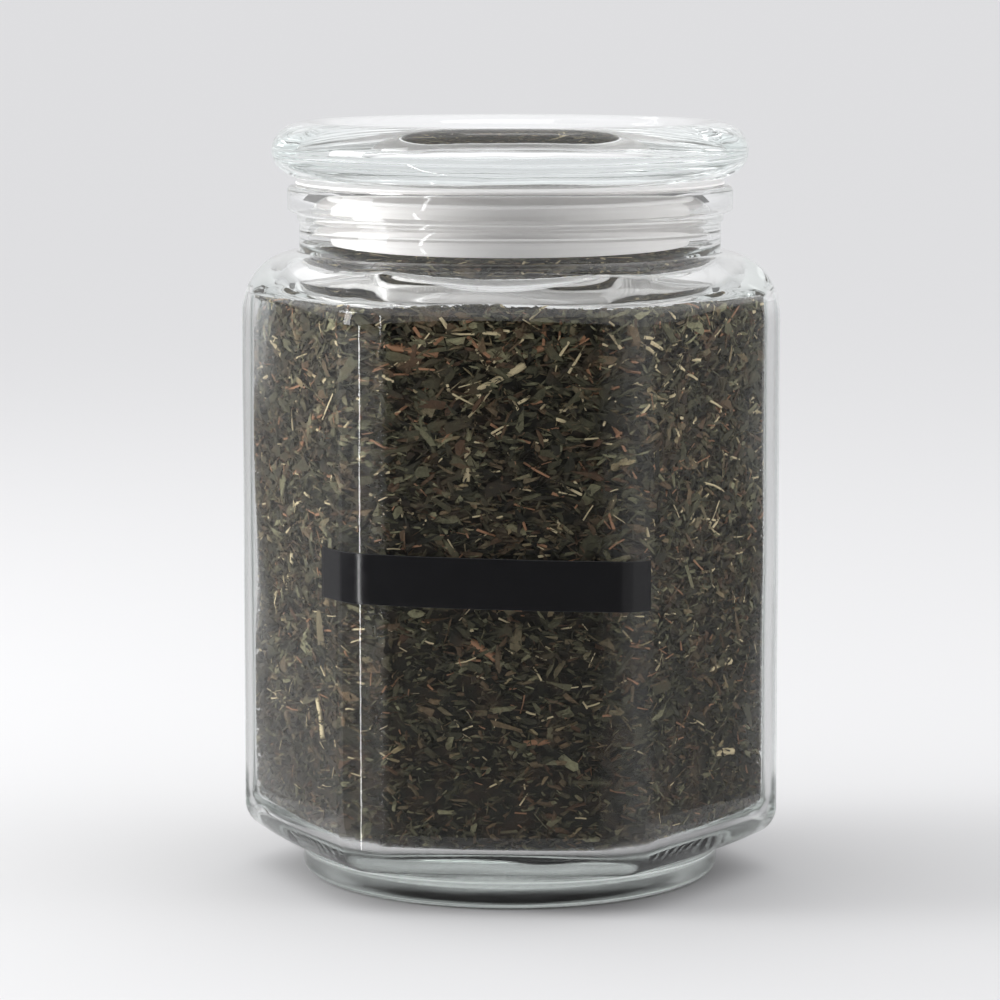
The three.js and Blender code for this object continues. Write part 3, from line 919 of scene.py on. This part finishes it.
class Inside:
    """The space inside the glass, for laying herb against it."""

    def __init__(self, glass):
        self.glass = glass
        self.outline = Outline(glass, panel_steps=40, corner_steps=20, inner=True)
        edge = self.outline.at(0)
        turn = np.arctan2(edge[:, 1], edge[:, 0])
        order = np.argsort(turn)
        self.turn = turn[order]
        self.reach = np.linalg.norm(edge, axis=1)[order]
        self.edge = edge
        run = np.linalg.norm(np.roll(edge, -1, 0) - edge, axis=1)
        self.length = run.sum()
        self.start = np.concatenate([[0], np.cumsum(run)])
        self.normals = np.unwrap(self.outline.normal)

    def fillet(self, z):
        """How far the fillet at the floor sets the inner face in."""
        s = np.clip(1 - (z - FLOOR_TOP) / FLOOR_FILLET, 0, 1)
        return FLOOR_FILLET * (1 - np.sqrt(1 - s**2))

    def limit(self, turn, z):
        """Radius of the inner face in a direction and at a height."""
        flat = np.interp(turn, self.turn, self.reach, period=2 * math.pi)
        share = shoulder_roundness(z)
        return flat * (1 - share) + self.glass.mouth_radius * share - self.fillet(z)

    def at(self, along, z, depth):
        """Points on the inner face, moved in by depth, and the outward direction there."""
        along = along % self.length
        edge = np.concatenate([self.edge, self.edge[:1]])
        x = np.interp(along, self.start, edge[:, 0])
        y = np.interp(along, self.start, edge[:, 1])
        normals = np.concatenate([self.normals, self.normals[:1] + 2 * math.pi])
        normal = np.interp(along, self.start, normals)
        out = np.stack([np.cos(normal), np.sin(normal), np.zeros_like(normal)], 1)
        flat = np.stack([x, y], 1)
        share = shoulder_roundness(z)[:, None]
        away = flat / np.linalg.norm(flat, axis=1)[:, None]
        flat = flat * (1 - share) + away * self.glass.mouth_radius * share
        flat = flat - out[:, :2] * (self.fillet(z) + depth)[:, None]
        return np.column_stack([flat, z]), out

    def hold(self, points, gap):
        """Presses points that would reach through the glass flat against it."""
        shape = points.shape
        p = points.reshape(-1, 3)
        p[:, 2] = np.maximum(p[:, 2], FLOOR_TOP + gap)
        turn = np.arctan2(p[:, 1], p[:, 0])
        away = np.linalg.norm(p[:, :2], axis=1)
        most = self.limit(turn, p[:, 2]) - gap
        p[:, :2] *= np.minimum(1, most / np.maximum(away, 1e-9))[:, None]
        return p.reshape(shape)


def heap_height(herb, x, y):
    """Height of the heap's lumpy surface."""
    away = np.hypot(x, y)
    points = np.stack([x, y, np.zeros_like(x)], 1)
    dome = herb.mound * (1 - np.clip(away / HEAP_RADIUS, 0, 1) ** 2)
    broad = ripple(points, seed=31, size=17 * MM) * 0.55 * MM
    small = ripple(points, seed=32, size=6 * MM) * 0.2 * MM
    return herb.top + dome + (broad + small)


def frames_from(normal, rng):
    """Three unit directions for each piece, turned at random: length, width and normal."""
    normal = normal / np.linalg.norm(normal, axis=1)[:, None]
    helper = rng.normal(size=normal.shape)
    across = np.cross(normal, helper)
    across /= np.linalg.norm(across, axis=1)[:, None]
    return np.cross(across, normal), across, normal


def scrap_shapes(rng, length, width, corners):
    """Torn leaf scraps: an uneven rim with a raised middle above and a lower one below."""
    count = len(length)
    turn = np.linspace(0, 2 * math.pi, corners, endpoint=False)
    turn = turn + rng.uniform(-0.35, 0.35, (count, corners))
    reach = rng.uniform(0.62, 1.0, (count, corners))
    # The powers square the oval off, so that it looks cut.
    x = np.sign(np.cos(turn)) * np.abs(np.cos(turn)) ** 0.6 * reach * length[:, None] / 2
    y = np.sign(np.sin(turn)) * np.abs(np.sin(turn)) ** 0.6 * reach * width[:, None] / 2
    curl = rng.uniform(-0.9, 0.9, (count, 1)) / width[:, None]
    twist = rng.uniform(-0.5, 0.5, (count, 1)) / length[:, None]
    z = curl * y**2 * 2 + twist * x * y * 2
    z += rng.normal(size=(count, corners)) * 0.05 * width[:, None]
    rim = np.stack([x, y, z], 2)
    middle = rim.mean(1, keepdims=True)
    rise = rng.uniform(0.02, 0.10, (count, 1)) * width[:, None]
    thick = np.full((count, 1), 0.10 * MM)
    upper = middle.copy()
    upper[:, :, 2] += rise + thick
    lower = middle.copy()
    lower[:, :, 2] += rise - thick
    shapes = np.concatenate([rim, upper, lower], 1)
    i = np.arange(corners)
    after = (i + 1) % corners
    top = np.stack([i, after, np.full_like(i, corners)], 1)
    bottom = np.stack([after, i, np.full_like(i, corners + 1)], 1)
    return shapes, np.concatenate([top, bottom])


def stick_shapes(rng, length, width, sides=5, rings=3):
    """Cut stems: slightly bent and tapered sticks with blunt, slanting ends."""
    count = len(length)
    turn = np.linspace(0, 2 * math.pi, sides, endpoint=False)
    along = np.linspace(-0.5, 0.5, rings)
    taper = rng.uniform(0.65, 1.0, (count, 1, 1))
    bend = rng.uniform(-0.10, 0.10, (count, 1, 1)) * length[:, None, None]
    flat = rng.uniform(0.45, 0.9, (count, 1, 1))
    at = along[None, :, None]
    thick = width[:, None, None] / 2 * (1 - (1 - taper) * (at + 0.5))
    uneven = rng.uniform(0.8, 1.15, (count, rings, sides))
    x = at * length[:, None, None] + rng.uniform(-0.4, 0.4, (count, 1, sides)) * thick
    y = np.cos(turn) * thick * uneven + bend * (at**2 * 4 - 1) * 0.5
    z = np.sin(turn) * thick * flat * uneven
    shapes = np.stack(np.broadcast_arrays(x, y, z), 3).reshape(count, rings * sides, 3)
    faces = []
    for ring in range(rings - 1):
        for side in range(sides):
            a = ring * sides + side
            b = ring * sides + (side + 1) % sides
            faces.append((a, a + sides, b + sides))
            faces.append((a, b + sides, b))
    for side in range(1, sides - 1):
        faces.append((0, side, side + 1))
        top = (rings - 1) * sides
        faces.append((top, top + side + 1, top + side))
    return shapes, np.array(faces)


def placed(shapes, centre, frames):
    """Shapes moved to their middles and turned to their directions."""
    length_way, width_way, normal = frames
    return (
        centre[:, None]
        + shapes[:, :, :1] * length_way[:, None]
        + shapes[:, :, 1:2] * width_way[:, None]
        + shapes[:, :, 2:] * normal[:, None]
    )


def make_loose(name, points, faces, tone, material, smooth=False):
    """One piece of many small closed shapes, each with its own tone."""
    count, corners = points.shape[:2]
    all_faces = (faces[None] + (np.arange(count) * corners)[:, None, None]).reshape(-1, 3)
    points = points.reshape(-1, 3)
    piece = make_piece(name, points, all_faces.tolist(), material, smooth=smooth)
    mark(piece, "tone", "FACE", np.repeat(tone, len(faces)))
    return piece


def wall_spots(rng, inside, count, low, high, power, depths):
    """Random places against the glass, as a distance round it, a height and a depth.

    A power under 1 crowds them towards the top.
    """
    share = rng.uniform(0, 1, count) ** power
    z = low + (high - low) * share
    along = rng.uniform(0, inside.length, count)
    depth = rng.uniform(*depths, count)
    return along, z, depth


def laid(rng, out, flat_share):
    """Directions of pieces by the glass: most press against it, and the rest settle level.

    Their lengths run mostly level, because the herb has settled.
    """
    count = len(out)
    level = rng.uniform(0, 1, count) < flat_share
    up = np.array([0, 0, 1.0])
    normal = np.where(level[:, None], up, out) + rng.normal(size=(count, 3)) * 0.5
    normal /= np.linalg.norm(normal, axis=1)[:, None]
    way = np.cross(up, out) + rng.normal(size=(count, 3)) * 0.7
    way -= normal * (way * normal).sum(1)[:, None]
    way /= np.linalg.norm(way, axis=1)[:, None]
    return way, np.cross(normal, way), normal


def leaf_tones(rng, count, palest=0.88, painted_top_light=0.0):
    """Tones of leaf scraps: mostly green to grey, with some withered and a few like straw.

    With the share painted_top_light for each, some take a paler tone: painted light, which the
    caller gives to scraps near the top of the herb.
    """
    tone = rng.beta(1.1, 2.2, count) * palest
    tone = np.where(rng.uniform(0, 1, count) < painted_top_light, rng.uniform(0.4, 0.86, count), tone)
    brown = rng.uniform(0, 1, count)
    tone = np.where(brown < 0.17, rng.uniform(0.88, 0.94, count), tone)
    return np.where(brown > 0.985, rng.uniform(0.95, 1.0, count), tone)


def make_herb_core(glass, herb, leaf):
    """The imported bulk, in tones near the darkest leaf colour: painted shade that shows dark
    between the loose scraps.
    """
    inside = Inside(glass)
    around = 240
    turn = np.linspace(-math.pi, math.pi, around, endpoint=False)
    levels = []
    foot = np.linspace(FLOOR_TOP + 1.6 * MM, 16 * MM, 8)
    wall = np.linspace(17 * MM, herb.top - 1.2 * MM, 70)
    heights = np.concatenate([foot, wall])
    for z in heights:
        reach = inside.limit(turn, np.full(around, z)) - CORE_DEPTH
        levels.append(np.stack([reach * np.cos(turn), reach * np.sin(turn), np.full(around, z)], 1))
    rim = levels[-1][:, :2]
    for share in (0.97, 0.9, 0.8, 0.68, 0.55, 0.42, 0.28, 0.14):
        x, y = (rim * share).T
        levels.append(np.stack([x, y, heap_height(herb, x, y) - CORE_DROP], 1))
    centre = heap_height(herb, np.zeros(1), np.zeros(1))[0] - CORE_DROP
    points, faces = skin(levels, (0, 0, heights[0]), (0, 0, centre))
    _, out = outward(points)
    lumps = ripple(points, seed=41, size=4 * MM) * 0.15 * MM
    lumps += ripple(points, seed=42, size=9 * MM) * 0.12 * MM
    side = np.clip((herb.top - points[:, 2]) / (3 * MM), 0, 1)
    points[:, :2] += out * (lumps * side)[:, None]
    core = make_piece("packed_herb", points, faces, leaf, ["herb_fill"])
    rng = np.random.default_rng(herb.seed)
    # Tones near 0 give the darkest leaf colour all over: painted shade between the scraps.
    mark(core, "tone", "FACE", rng.uniform(0, 0.08, len(core.data.polygons)))


def make_wall_scraps(glass, herb, leaf):
    """Leaf scraps against the glass: coarse ones above, and finer ones that sift down."""
    inside = Inside(glass)
    rng = np.random.default_rng(herb.seed + 1)
    top = herb.top - 0.4 * MM
    low = FLOOR_TOP + 1.2 * MM
    upper = herb.fine_scraps // 2
    lower = herb.fine_scraps - upper
    # For each layer: its name, count and corners to a scrap, its bottom and top, the power that
    # crowds it up, the lengths in millimetres, and the share that lies level.
    layers = [
        ("coarse_scraps", herb.coarse_scraps, 8, 22 * MM, top, 0.55, (3.2, 6.4), 0.45),
        ("fine_scraps_upper", upper, 6, 55 * MM, top, 1.0, (1.8, 3.4), 0.40),
        ("fine_scraps_lower", lower, 6, low, 60 * MM, 1.0, (1.6, 3.1), 0.38),
    ]
    for name, count, corners, bottom, ceiling, power, lengths, level_share in layers:
        along, z, depth = wall_spots(rng, inside, count, bottom, ceiling, power, SCRAP_DEPTHS)
        centre, out = inside.at(along, z, depth)
        length = rng.uniform(*lengths, count) * rng.lognormal(0, 0.22, count) * MM
        width = length * rng.uniform(0.10, 0.46, count)
        shapes, faces = scrap_shapes(rng, length, width, corners)
        frames = laid(rng, out, level_share)
        points = inside.hold(placed(shapes, centre, frames), SCRAP_GAP)
        over = heap_height(herb, *points.reshape(-1, 3)[:, :2].T).reshape(points.shape[:2])
        points[:, :, 2] = np.minimum(points[:, :, 2], over)
        # Scraps within 9 mm of the herb's top are likelier to be pale: painted light where the top
        # is lit.
        painted_top_light = np.clip(1 - (herb.top - z) / (9 * MM), 0, 1) * 0.55
        tone = leaf_tones(rng, count, palest=0.92, painted_top_light=painted_top_light)
        make_loose(name, points, faces, tone, leaf)


def make_wall_sticks(glass, herb, straw, twig):
    """Small lengths of stem scattered among the scraps."""
    inside = Inside(glass)
    rng = np.random.default_rng(herb.seed + 2)
    for name, count, material, slot in (
        ("straw_bits", 1100, straw, "straw_stem"),
        ("twig_bits", 900, twig, "brown_stem"),
    ):
        low = FLOOR_TOP + 2 * MM
        along, z, depth = wall_spots(
            rng, inside, count, low, herb.top, power=0.7, depths=STICK_DEPTHS
        )
        centre, out = inside.at(along, z, depth)
        size = 0.55 + 0.75 * (z - FLOOR_TOP) / (herb.top - FLOOR_TOP)
        length = rng.lognormal(1.0, 0.38, count) * size * MM
        width = rng.uniform(0.22, 0.62, count) * size * MM
        shapes, faces = stick_shapes(rng, length, width)
        frames = laid(rng, out, flat_share=0.25)
        points = inside.hold(placed(shapes, centre, frames), SCRAP_GAP)
        make_loose(name, points, faces, rng.uniform(0, 1, count) ** 0.8, material)


def make_heap(glass, herb, leaf, straw):
    """Scraps and stems lying on top of the heap."""
    inside = Inside(glass)
    rng = np.random.default_rng(herb.seed + 3)
    for name, count, material, slot in (
        ("heap_scraps", herb.heap_scraps, leaf, "dried_leaf"),
        ("heap_straws", 260, straw, "straw_stem"),
    ):
        away = np.sqrt(rng.uniform(0, 1, count)) * HEAP_SPREAD
        turn = rng.uniform(0, 2 * math.pi, count)
        x, y = away * np.cos(turn), away * np.sin(turn)
        lift = rng.uniform(-0.9, 0.7, count) * np.clip((HEAP_RADIUS - away) / (8 * MM), 0.2, 1)
        z = heap_height(herb, x, y) + lift * MM - 0.3 * MM
        centre = np.stack([x, y, z], 1)
        normal = np.array([0, 0, 1.0]) + rng.normal(size=(count, 3)) * 0.42
        frames = frames_from(normal, rng)
        if material is leaf:
            length = rng.uniform(2.2, 4.6, count) * rng.lognormal(0, 0.2, count) * MM
            shapes, faces = scrap_shapes(rng, length, length * rng.uniform(0.35, 0.7, count), 8)
            tone = leaf_tones(rng, count)
        else:
            length = rng.lognormal(1.2, 0.4, count) * MM
            shapes, faces = stick_shapes(rng, length, rng.uniform(0.3, 0.8, count) * MM)
            tone = rng.uniform(0, 1, count)
        points = inside.hold(placed(shapes, centre, frames), HEAP_GAP)
        make_loose(name, points, faces, tone, material)


def node_axes(name):
    """Middle, main directions and full sizes of a node of the frame, longest first."""
    mesh = frame["nodes"][name].data
    co = np.empty(len(mesh.vertices) * 3)
    mesh.vertices.foreach_get("co", co)
    co = co.reshape(-1, 3)
    middle = (co.max(0) + co.min(0)) / 2
    _, ways = np.linalg.eigh(np.cov((co - co.mean(0)).T))
    ways = ways[:, ::-1].T
    ways[2] = np.cross(ways[0], ways[1])
    spread = (co - middle) @ ways.T
    middle = middle + ((spread.max(0) + spread.min(0)) / 2) @ ways
    return middle, ways, spread.max(0) - spread.min(0)


def node_places(nodes):
    """Middles, main directions and sizes of these nodes."""
    return (np.array(part) for part in zip(*[node_axes(n) for n in nodes]))


def nodes_named(start, slot):
    """The frame's nodes whose names begin so and whose record gives them this slot."""
    slots = {row["node"]: row["material_slot"] for row in frame["record"]["subparts"]}
    return [n for n in sorted(frame["nodes"]) if n.startswith(start) and slots[n] == slot]


def make_marked_stems(glass, herb, name, slot, material, seed):
    """The larger stems, each where its node lies."""
    inside = Inside(glass)
    rng = np.random.default_rng(herb.seed + seed)
    nodes = nodes_named(("stem_", "top_stem_"), slot)
    centre, ways, size = node_places(nodes)
    shapes, faces = stick_shapes(rng, size[:, 0], size[:, 1] * 0.95, sides=12, rings=9)
    points = placed(shapes, centre, (ways[:, 0], ways[:, 1], ways[:, 2]))
    points = inside.hold(points, HEAP_GAP)
    tone = rng.uniform(0, 0.5, len(nodes))
    piece = make_loose(name, points, faces, tone, material, smooth=True)
    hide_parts(*nodes)


def make_marked_leaves(glass, herb, leaf):
    """The larger leaf scraps, each where its node lies, with a fold along the midrib."""
    inside = Inside(glass)
    rng = np.random.default_rng(herb.seed + 9)
    nodes = nodes_named(("leaf_", "top_leaf_"), "dried_leaf")
    centre, ways, size = node_places(nodes)
    shapes, faces = scrap_shapes(rng, size[:, 0], size[:, 1], corners=18)
    points = placed(shapes, centre, (ways[:, 0], ways[:, 1], ways[:, 2]))
    points = inside.hold(points, HEAP_GAP)
    tone = rng.uniform(0.3, 0.8, len(nodes))
    piece = make_loose("leaf_scraps", points, faces, tone, leaf)
    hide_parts(*nodes)


# ---------- stage ----------


def make_camera(stage):
    turn, pitch = stage.camera_turn, stage.camera_pitch
    right = Vector((math.cos(turn), math.sin(turn), 0))
    ahead = Vector((-math.sin(turn), math.cos(turn), 0))
    data = bpy.data.cameras.new("camera")
    data.lens = stage.lens_mm
    data.sensor_width = 36
    camera = add_object("camera", data)
    camera.location = (
        -ahead * stage.camera_away
        - right * stage.camera_aside
        + Vector((0, 0, stage.camera_height))
    )
    looking = ahead * math.cos(pitch) - Vector((0, 0, math.sin(pitch)))
    camera.rotation_euler = looking.to_track_quat("-Z", "Y").to_euler()
    bpy.context.scene.camera = camera


def make_floor(stage):
    shader = Shader("pale_floor")
    grain = shader.noise(30.0)
    darker = shade(stage.floor_colour, 0.95)
    colour = shader.mixed(shader.span(grain, 0.0, 0.1), stage.floor_colour, darker)
    shader.link(colour, "Base Color")
    shader.set(Roughness=0.9, Specular_IOR_Level=0.0)
    half = FLOOR_HALF
    corners = [(-half, -half, 0), (half, -half, 0), (half, half, 0), (-half, half, 0)]
    floor = add_quad("floor", corners, shader.material)


def make_card(name, start, end, low_grey, high_grey, glow):
    """A plain card that stands on the floor from start to end and only shows in the glass, as a
    painted reflection: it casts no shade, and its glow lights nothing.
    """
    shader = Shader(name)
    shader.set(Roughness=1.0, Specular_IOR_Level=0.0)
    shader.set(Emission_Color=(1, 1, 1, 1), Emission_Strength=glow)
    grey = shader.span(shader.height(), low_grey, high_grey, end=CARD_HEIGHT)
    shader.link(grey, "Base Color")
    shader.material.cycles.emission_sampling = "NONE"
    corners = [(*start, 0), (*end, 0), (*end, CARD_HEIGHT), (*start, CARD_HEIGHT)]
    card = add_quad(name, corners, shader.material)
    card.visible_camera = False
    card.visible_shadow = False
    card.visible_diffuse = False


def make_lamp(name, azimuth, elevation, away, size, power, mirrored):
    """A soft lamp that shines at the jar."""
    data = bpy.data.lights.new(name, "AREA")
    data.shape = "RECTANGLE"
    data.size, data.size_y = size
    data.energy = power
    lamp = add_object(name, data)
    lamp.visible_camera = False
    lamp.visible_glossy = mirrored
    lamp.visible_transmission = mirrored
    around, up = math.radians(azimuth), math.radians(elevation)
    level = math.cos(up)
    way = Vector((math.sin(around) * level, -math.cos(around) * level, math.sin(up)))
    lamp.location = LAMPS_AIM + way * away
    lamp.rotation_euler = (-way).to_track_quat("-Z", "Y").to_euler()


def make_world():
    """Light from all round with less from in front, and what shows of it to glass and camera."""
    world = bpy.data.worlds.new("studio")
    bpy.context.scene.world = world
    world.use_nodes = True
    tree = Nodes(world.node_tree)
    way = tree.node("ShaderNodeTexCoord").outputs["Generated"]

    def ramp_along(direction, stops):
        along = tree.node("ShaderNodeVectorMath", {0: way, 1: direction}, operation="DOT_PRODUCT")
        place = tree.span(along.outputs["Value"], 0, 1, start=-1)
        return tree.ramp(place, [(at, (grey, grey, grey * 1.01)) for at, grey in stops], "EASE")

    depth = ramp_along(*LIGHT_BACK)
    sides = ramp_along(*LIGHT_SIDES)
    shown = ramp_along(*LIGHT_SHOWN)
    light = tree.mixed(1.0, depth, sides, "MULTIPLY")
    path = tree.node("ShaderNodeLightPath").outputs
    seen = path["Is Camera Ray"]
    for kind in ("Is Glossy Ray", "Is Transmission Ray"):
        seen = tree.maths("MAXIMUM", seen, path[kind])
    back = tree.nodes["Background"]
    back.inputs["Strength"].default_value = LIGHT_STRENGTH
    tree.links.new(tree.mixed(seen, light, shown), back.inputs["Color"])


def make_stage(stage):
    make_camera(stage)
    make_floor(stage)
    for card in CARDS:
        make_card(*card)
    make_world()
    for lamp in LAMPS:
        make_lamp(*lamp)
    scene = bpy.context.scene
    scene.view_settings.view_transform = "Standard"
    scene.cycles.max_bounces = 24
    scene.cycles.transparent_max_bounces = 24
    scene.cycles.transmission_bounces = 20
    scene.cycles.glossy_bounces = 8
    scene.cycles.diffuse_bounces = 3


# ---------- operators ----------


class JARHERB_OT_stage(Operator):
    """Set up the camera, the floor and the lights"""

    bl_idname = "jarherb.stage"
    bl_label = "Stage"

    def execute(self, context):
        make_stage(context.scene.jar_stage)
        return {"FINISHED"}


class JARHERB_OT_glass_jar(Operator):
    """Add the panelled glass jar"""

    bl_idname = "jarherb.glass_jar"
    bl_label = "Glass jar"

    def execute(self, context):
        make_glass_jar(context.scene.jar_glass)
        return {"FINISHED"}


class JARHERB_OT_glass_lid(Operator):
    """Add the pressed glass lid"""

    bl_idname = "jarherb.glass_lid"
    bl_label = "Glass lid"

    def execute(self, context):
        make_glass_lid(context.scene.jar_glass)
        return {"FINISHED"}


class JARHERB_OT_lid_seal(Operator):
    """Add the ribbed seal round the lid's plug"""

    bl_idname = "jarherb.lid_seal"
    bl_label = "Lid seal"

    def execute(self, context):
        make_lid_seal(context.scene.jar_seal)
        return {"FINISHED"}


class JARHERB_OT_label_tape(Operator):
    """Add the bare black label tape"""

    bl_idname = "jarherb.label_tape"
    bl_label = "Label tape"

    def execute(self, context):
        make_label_tape(context.scene.jar_glass, context.scene.jar_tape)
        return {"FINISHED"}


def glass_and_herb(context):
    """The settings that the herb's pieces are made from."""
    return context.scene.jar_glass, context.scene.jar_herb


def shared(name, make, *details):
    """The material of this name, made when it is first asked for."""
    return bpy.data.materials.get(name) or make(*details)


def leaf_material(herb):
    return shared("dried_balm_leaf", dried_leaf, herb)


def straw_material(herb):
    return shared("straw_stem", dry_stem, "straw_stem", herb.straw, shade(herb.straw, 0.6))


def twig_material(herb):
    return shared("brown_stem", dry_stem, "brown_stem", herb.twig, shade(herb.twig, 0.4))


class JARHERB_OT_packed_herb(Operator):
    """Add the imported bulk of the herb"""

    bl_idname = "jarherb.packed_herb"
    bl_label = "Packed herb"

    def execute(self, context):
        glass, herb = glass_and_herb(context)
        make_herb_core(glass, herb, leaf_material(herb))
        return {"FINISHED"}


class JARHERB_OT_leaf_scraps(Operator):
    """Add the scraps of leaf that lie against the glass"""

    bl_idname = "jarherb.leaf_scraps"
    bl_label = "Leaf scraps"

    def execute(self, context):
        glass, herb = glass_and_herb(context)
        make_wall_scraps(glass, herb, leaf_material(herb))
        return {"FINISHED"}


class JARHERB_OT_stem_bits(Operator):
    """Add the short lengths of stem among the scraps"""

    bl_idname = "jarherb.stem_bits"
    bl_label = "Stem bits"

    def execute(self, context):
        glass, herb = glass_and_herb(context)
        make_wall_sticks(glass, herb, straw_material(herb), twig_material(herb))
        return {"FINISHED"}


class JARHERB_OT_heap(Operator):
    """Add the scraps and stems that lie on top of the herb"""

    bl_idname = "jarherb.heap"
    bl_label = "Heap"

    def execute(self, context):
        glass, herb = glass_and_herb(context)
        make_heap(glass, herb, leaf_material(herb), straw_material(herb))
        return {"FINISHED"}


class JARHERB_OT_larger_stems(Operator):
    """Add the larger stems, straw-coloured and brown"""

    bl_idname = "jarherb.larger_stems"
    bl_label = "Larger stems"

    def execute(self, context):
        glass, herb = glass_and_herb(context)
        make_marked_stems(glass, herb, "straw_stems", "straw_stem", straw_material(herb), seed=5)
        make_marked_stems(glass, herb, "brown_stems", "brown_stem", twig_material(herb), seed=6)
        return {"FINISHED"}


class JARHERB_OT_larger_leaves(Operator):
    """Add the larger scraps of leaf"""

    bl_idname = "jarherb.larger_leaves"
    bl_label = "Larger leaves"

    def execute(self, context):
        glass, herb = glass_and_herb(context)
        make_marked_leaves(glass, herb, leaf_material(herb))
        return {"FINISHED"}


OPERATORS = (
    JARHERB_OT_stage,
    JARHERB_OT_glass_jar,
    JARHERB_OT_glass_lid,
    JARHERB_OT_lid_seal,
    JARHERB_OT_label_tape,
    JARHERB_OT_packed_herb,
    JARHERB_OT_leaf_scraps,
    JARHERB_OT_stem_bits,
    JARHERB_OT_heap,
    JARHERB_OT_larger_stems,
    JARHERB_OT_larger_leaves,
)


class JARHERB_PT_panel(Panel):
    """Lists the jar's pieces"""

    bl_idname = "JARHERB_PT_panel"
    bl_label = "Herb Jar"
    bl_space_type = "VIEW_3D"
    bl_region_type = "UI"
    bl_category = "Herb Jar"

    def draw(self, context):
        for operator in OPERATORS:
            self.layout.operator(operator.bl_idname)


def register():
    for name, group in SETTINGS.items():
        bpy.utils.register_class(group)
        setattr(bpy.types.Scene, name, PointerProperty(type=group))
    for operator in OPERATORS:
        bpy.utils.register_class(operator)
    bpy.utils.register_class(JARHERB_PT_panel)


def unregister():
    bpy.utils.unregister_class(JARHERB_PT_panel)
    for operator in reversed(OPERATORS):
        bpy.utils.unregister_class(operator)
    for name, group in SETTINGS.items():
        delattr(bpy.types.Scene, name)
        bpy.utils.unregister_class(group)


def main():
    register()
    bpy.ops.jarherb.stage()
    bpy.ops.jarherb.glass_jar()
    bpy.ops.jarherb.glass_lid()
    bpy.ops.jarherb.lid_seal()
    bpy.ops.jarherb.label_tape()
    bpy.ops.jarherb.packed_herb()
    bpy.ops.jarherb.leaf_scraps()
    bpy.ops.jarherb.stem_bits()
    bpy.ops.jarherb.heap()
    bpy.ops.jarherb.larger_stems()
    bpy.ops.jarherb.larger_leaves()


if __name__ == "__main__":
    main()
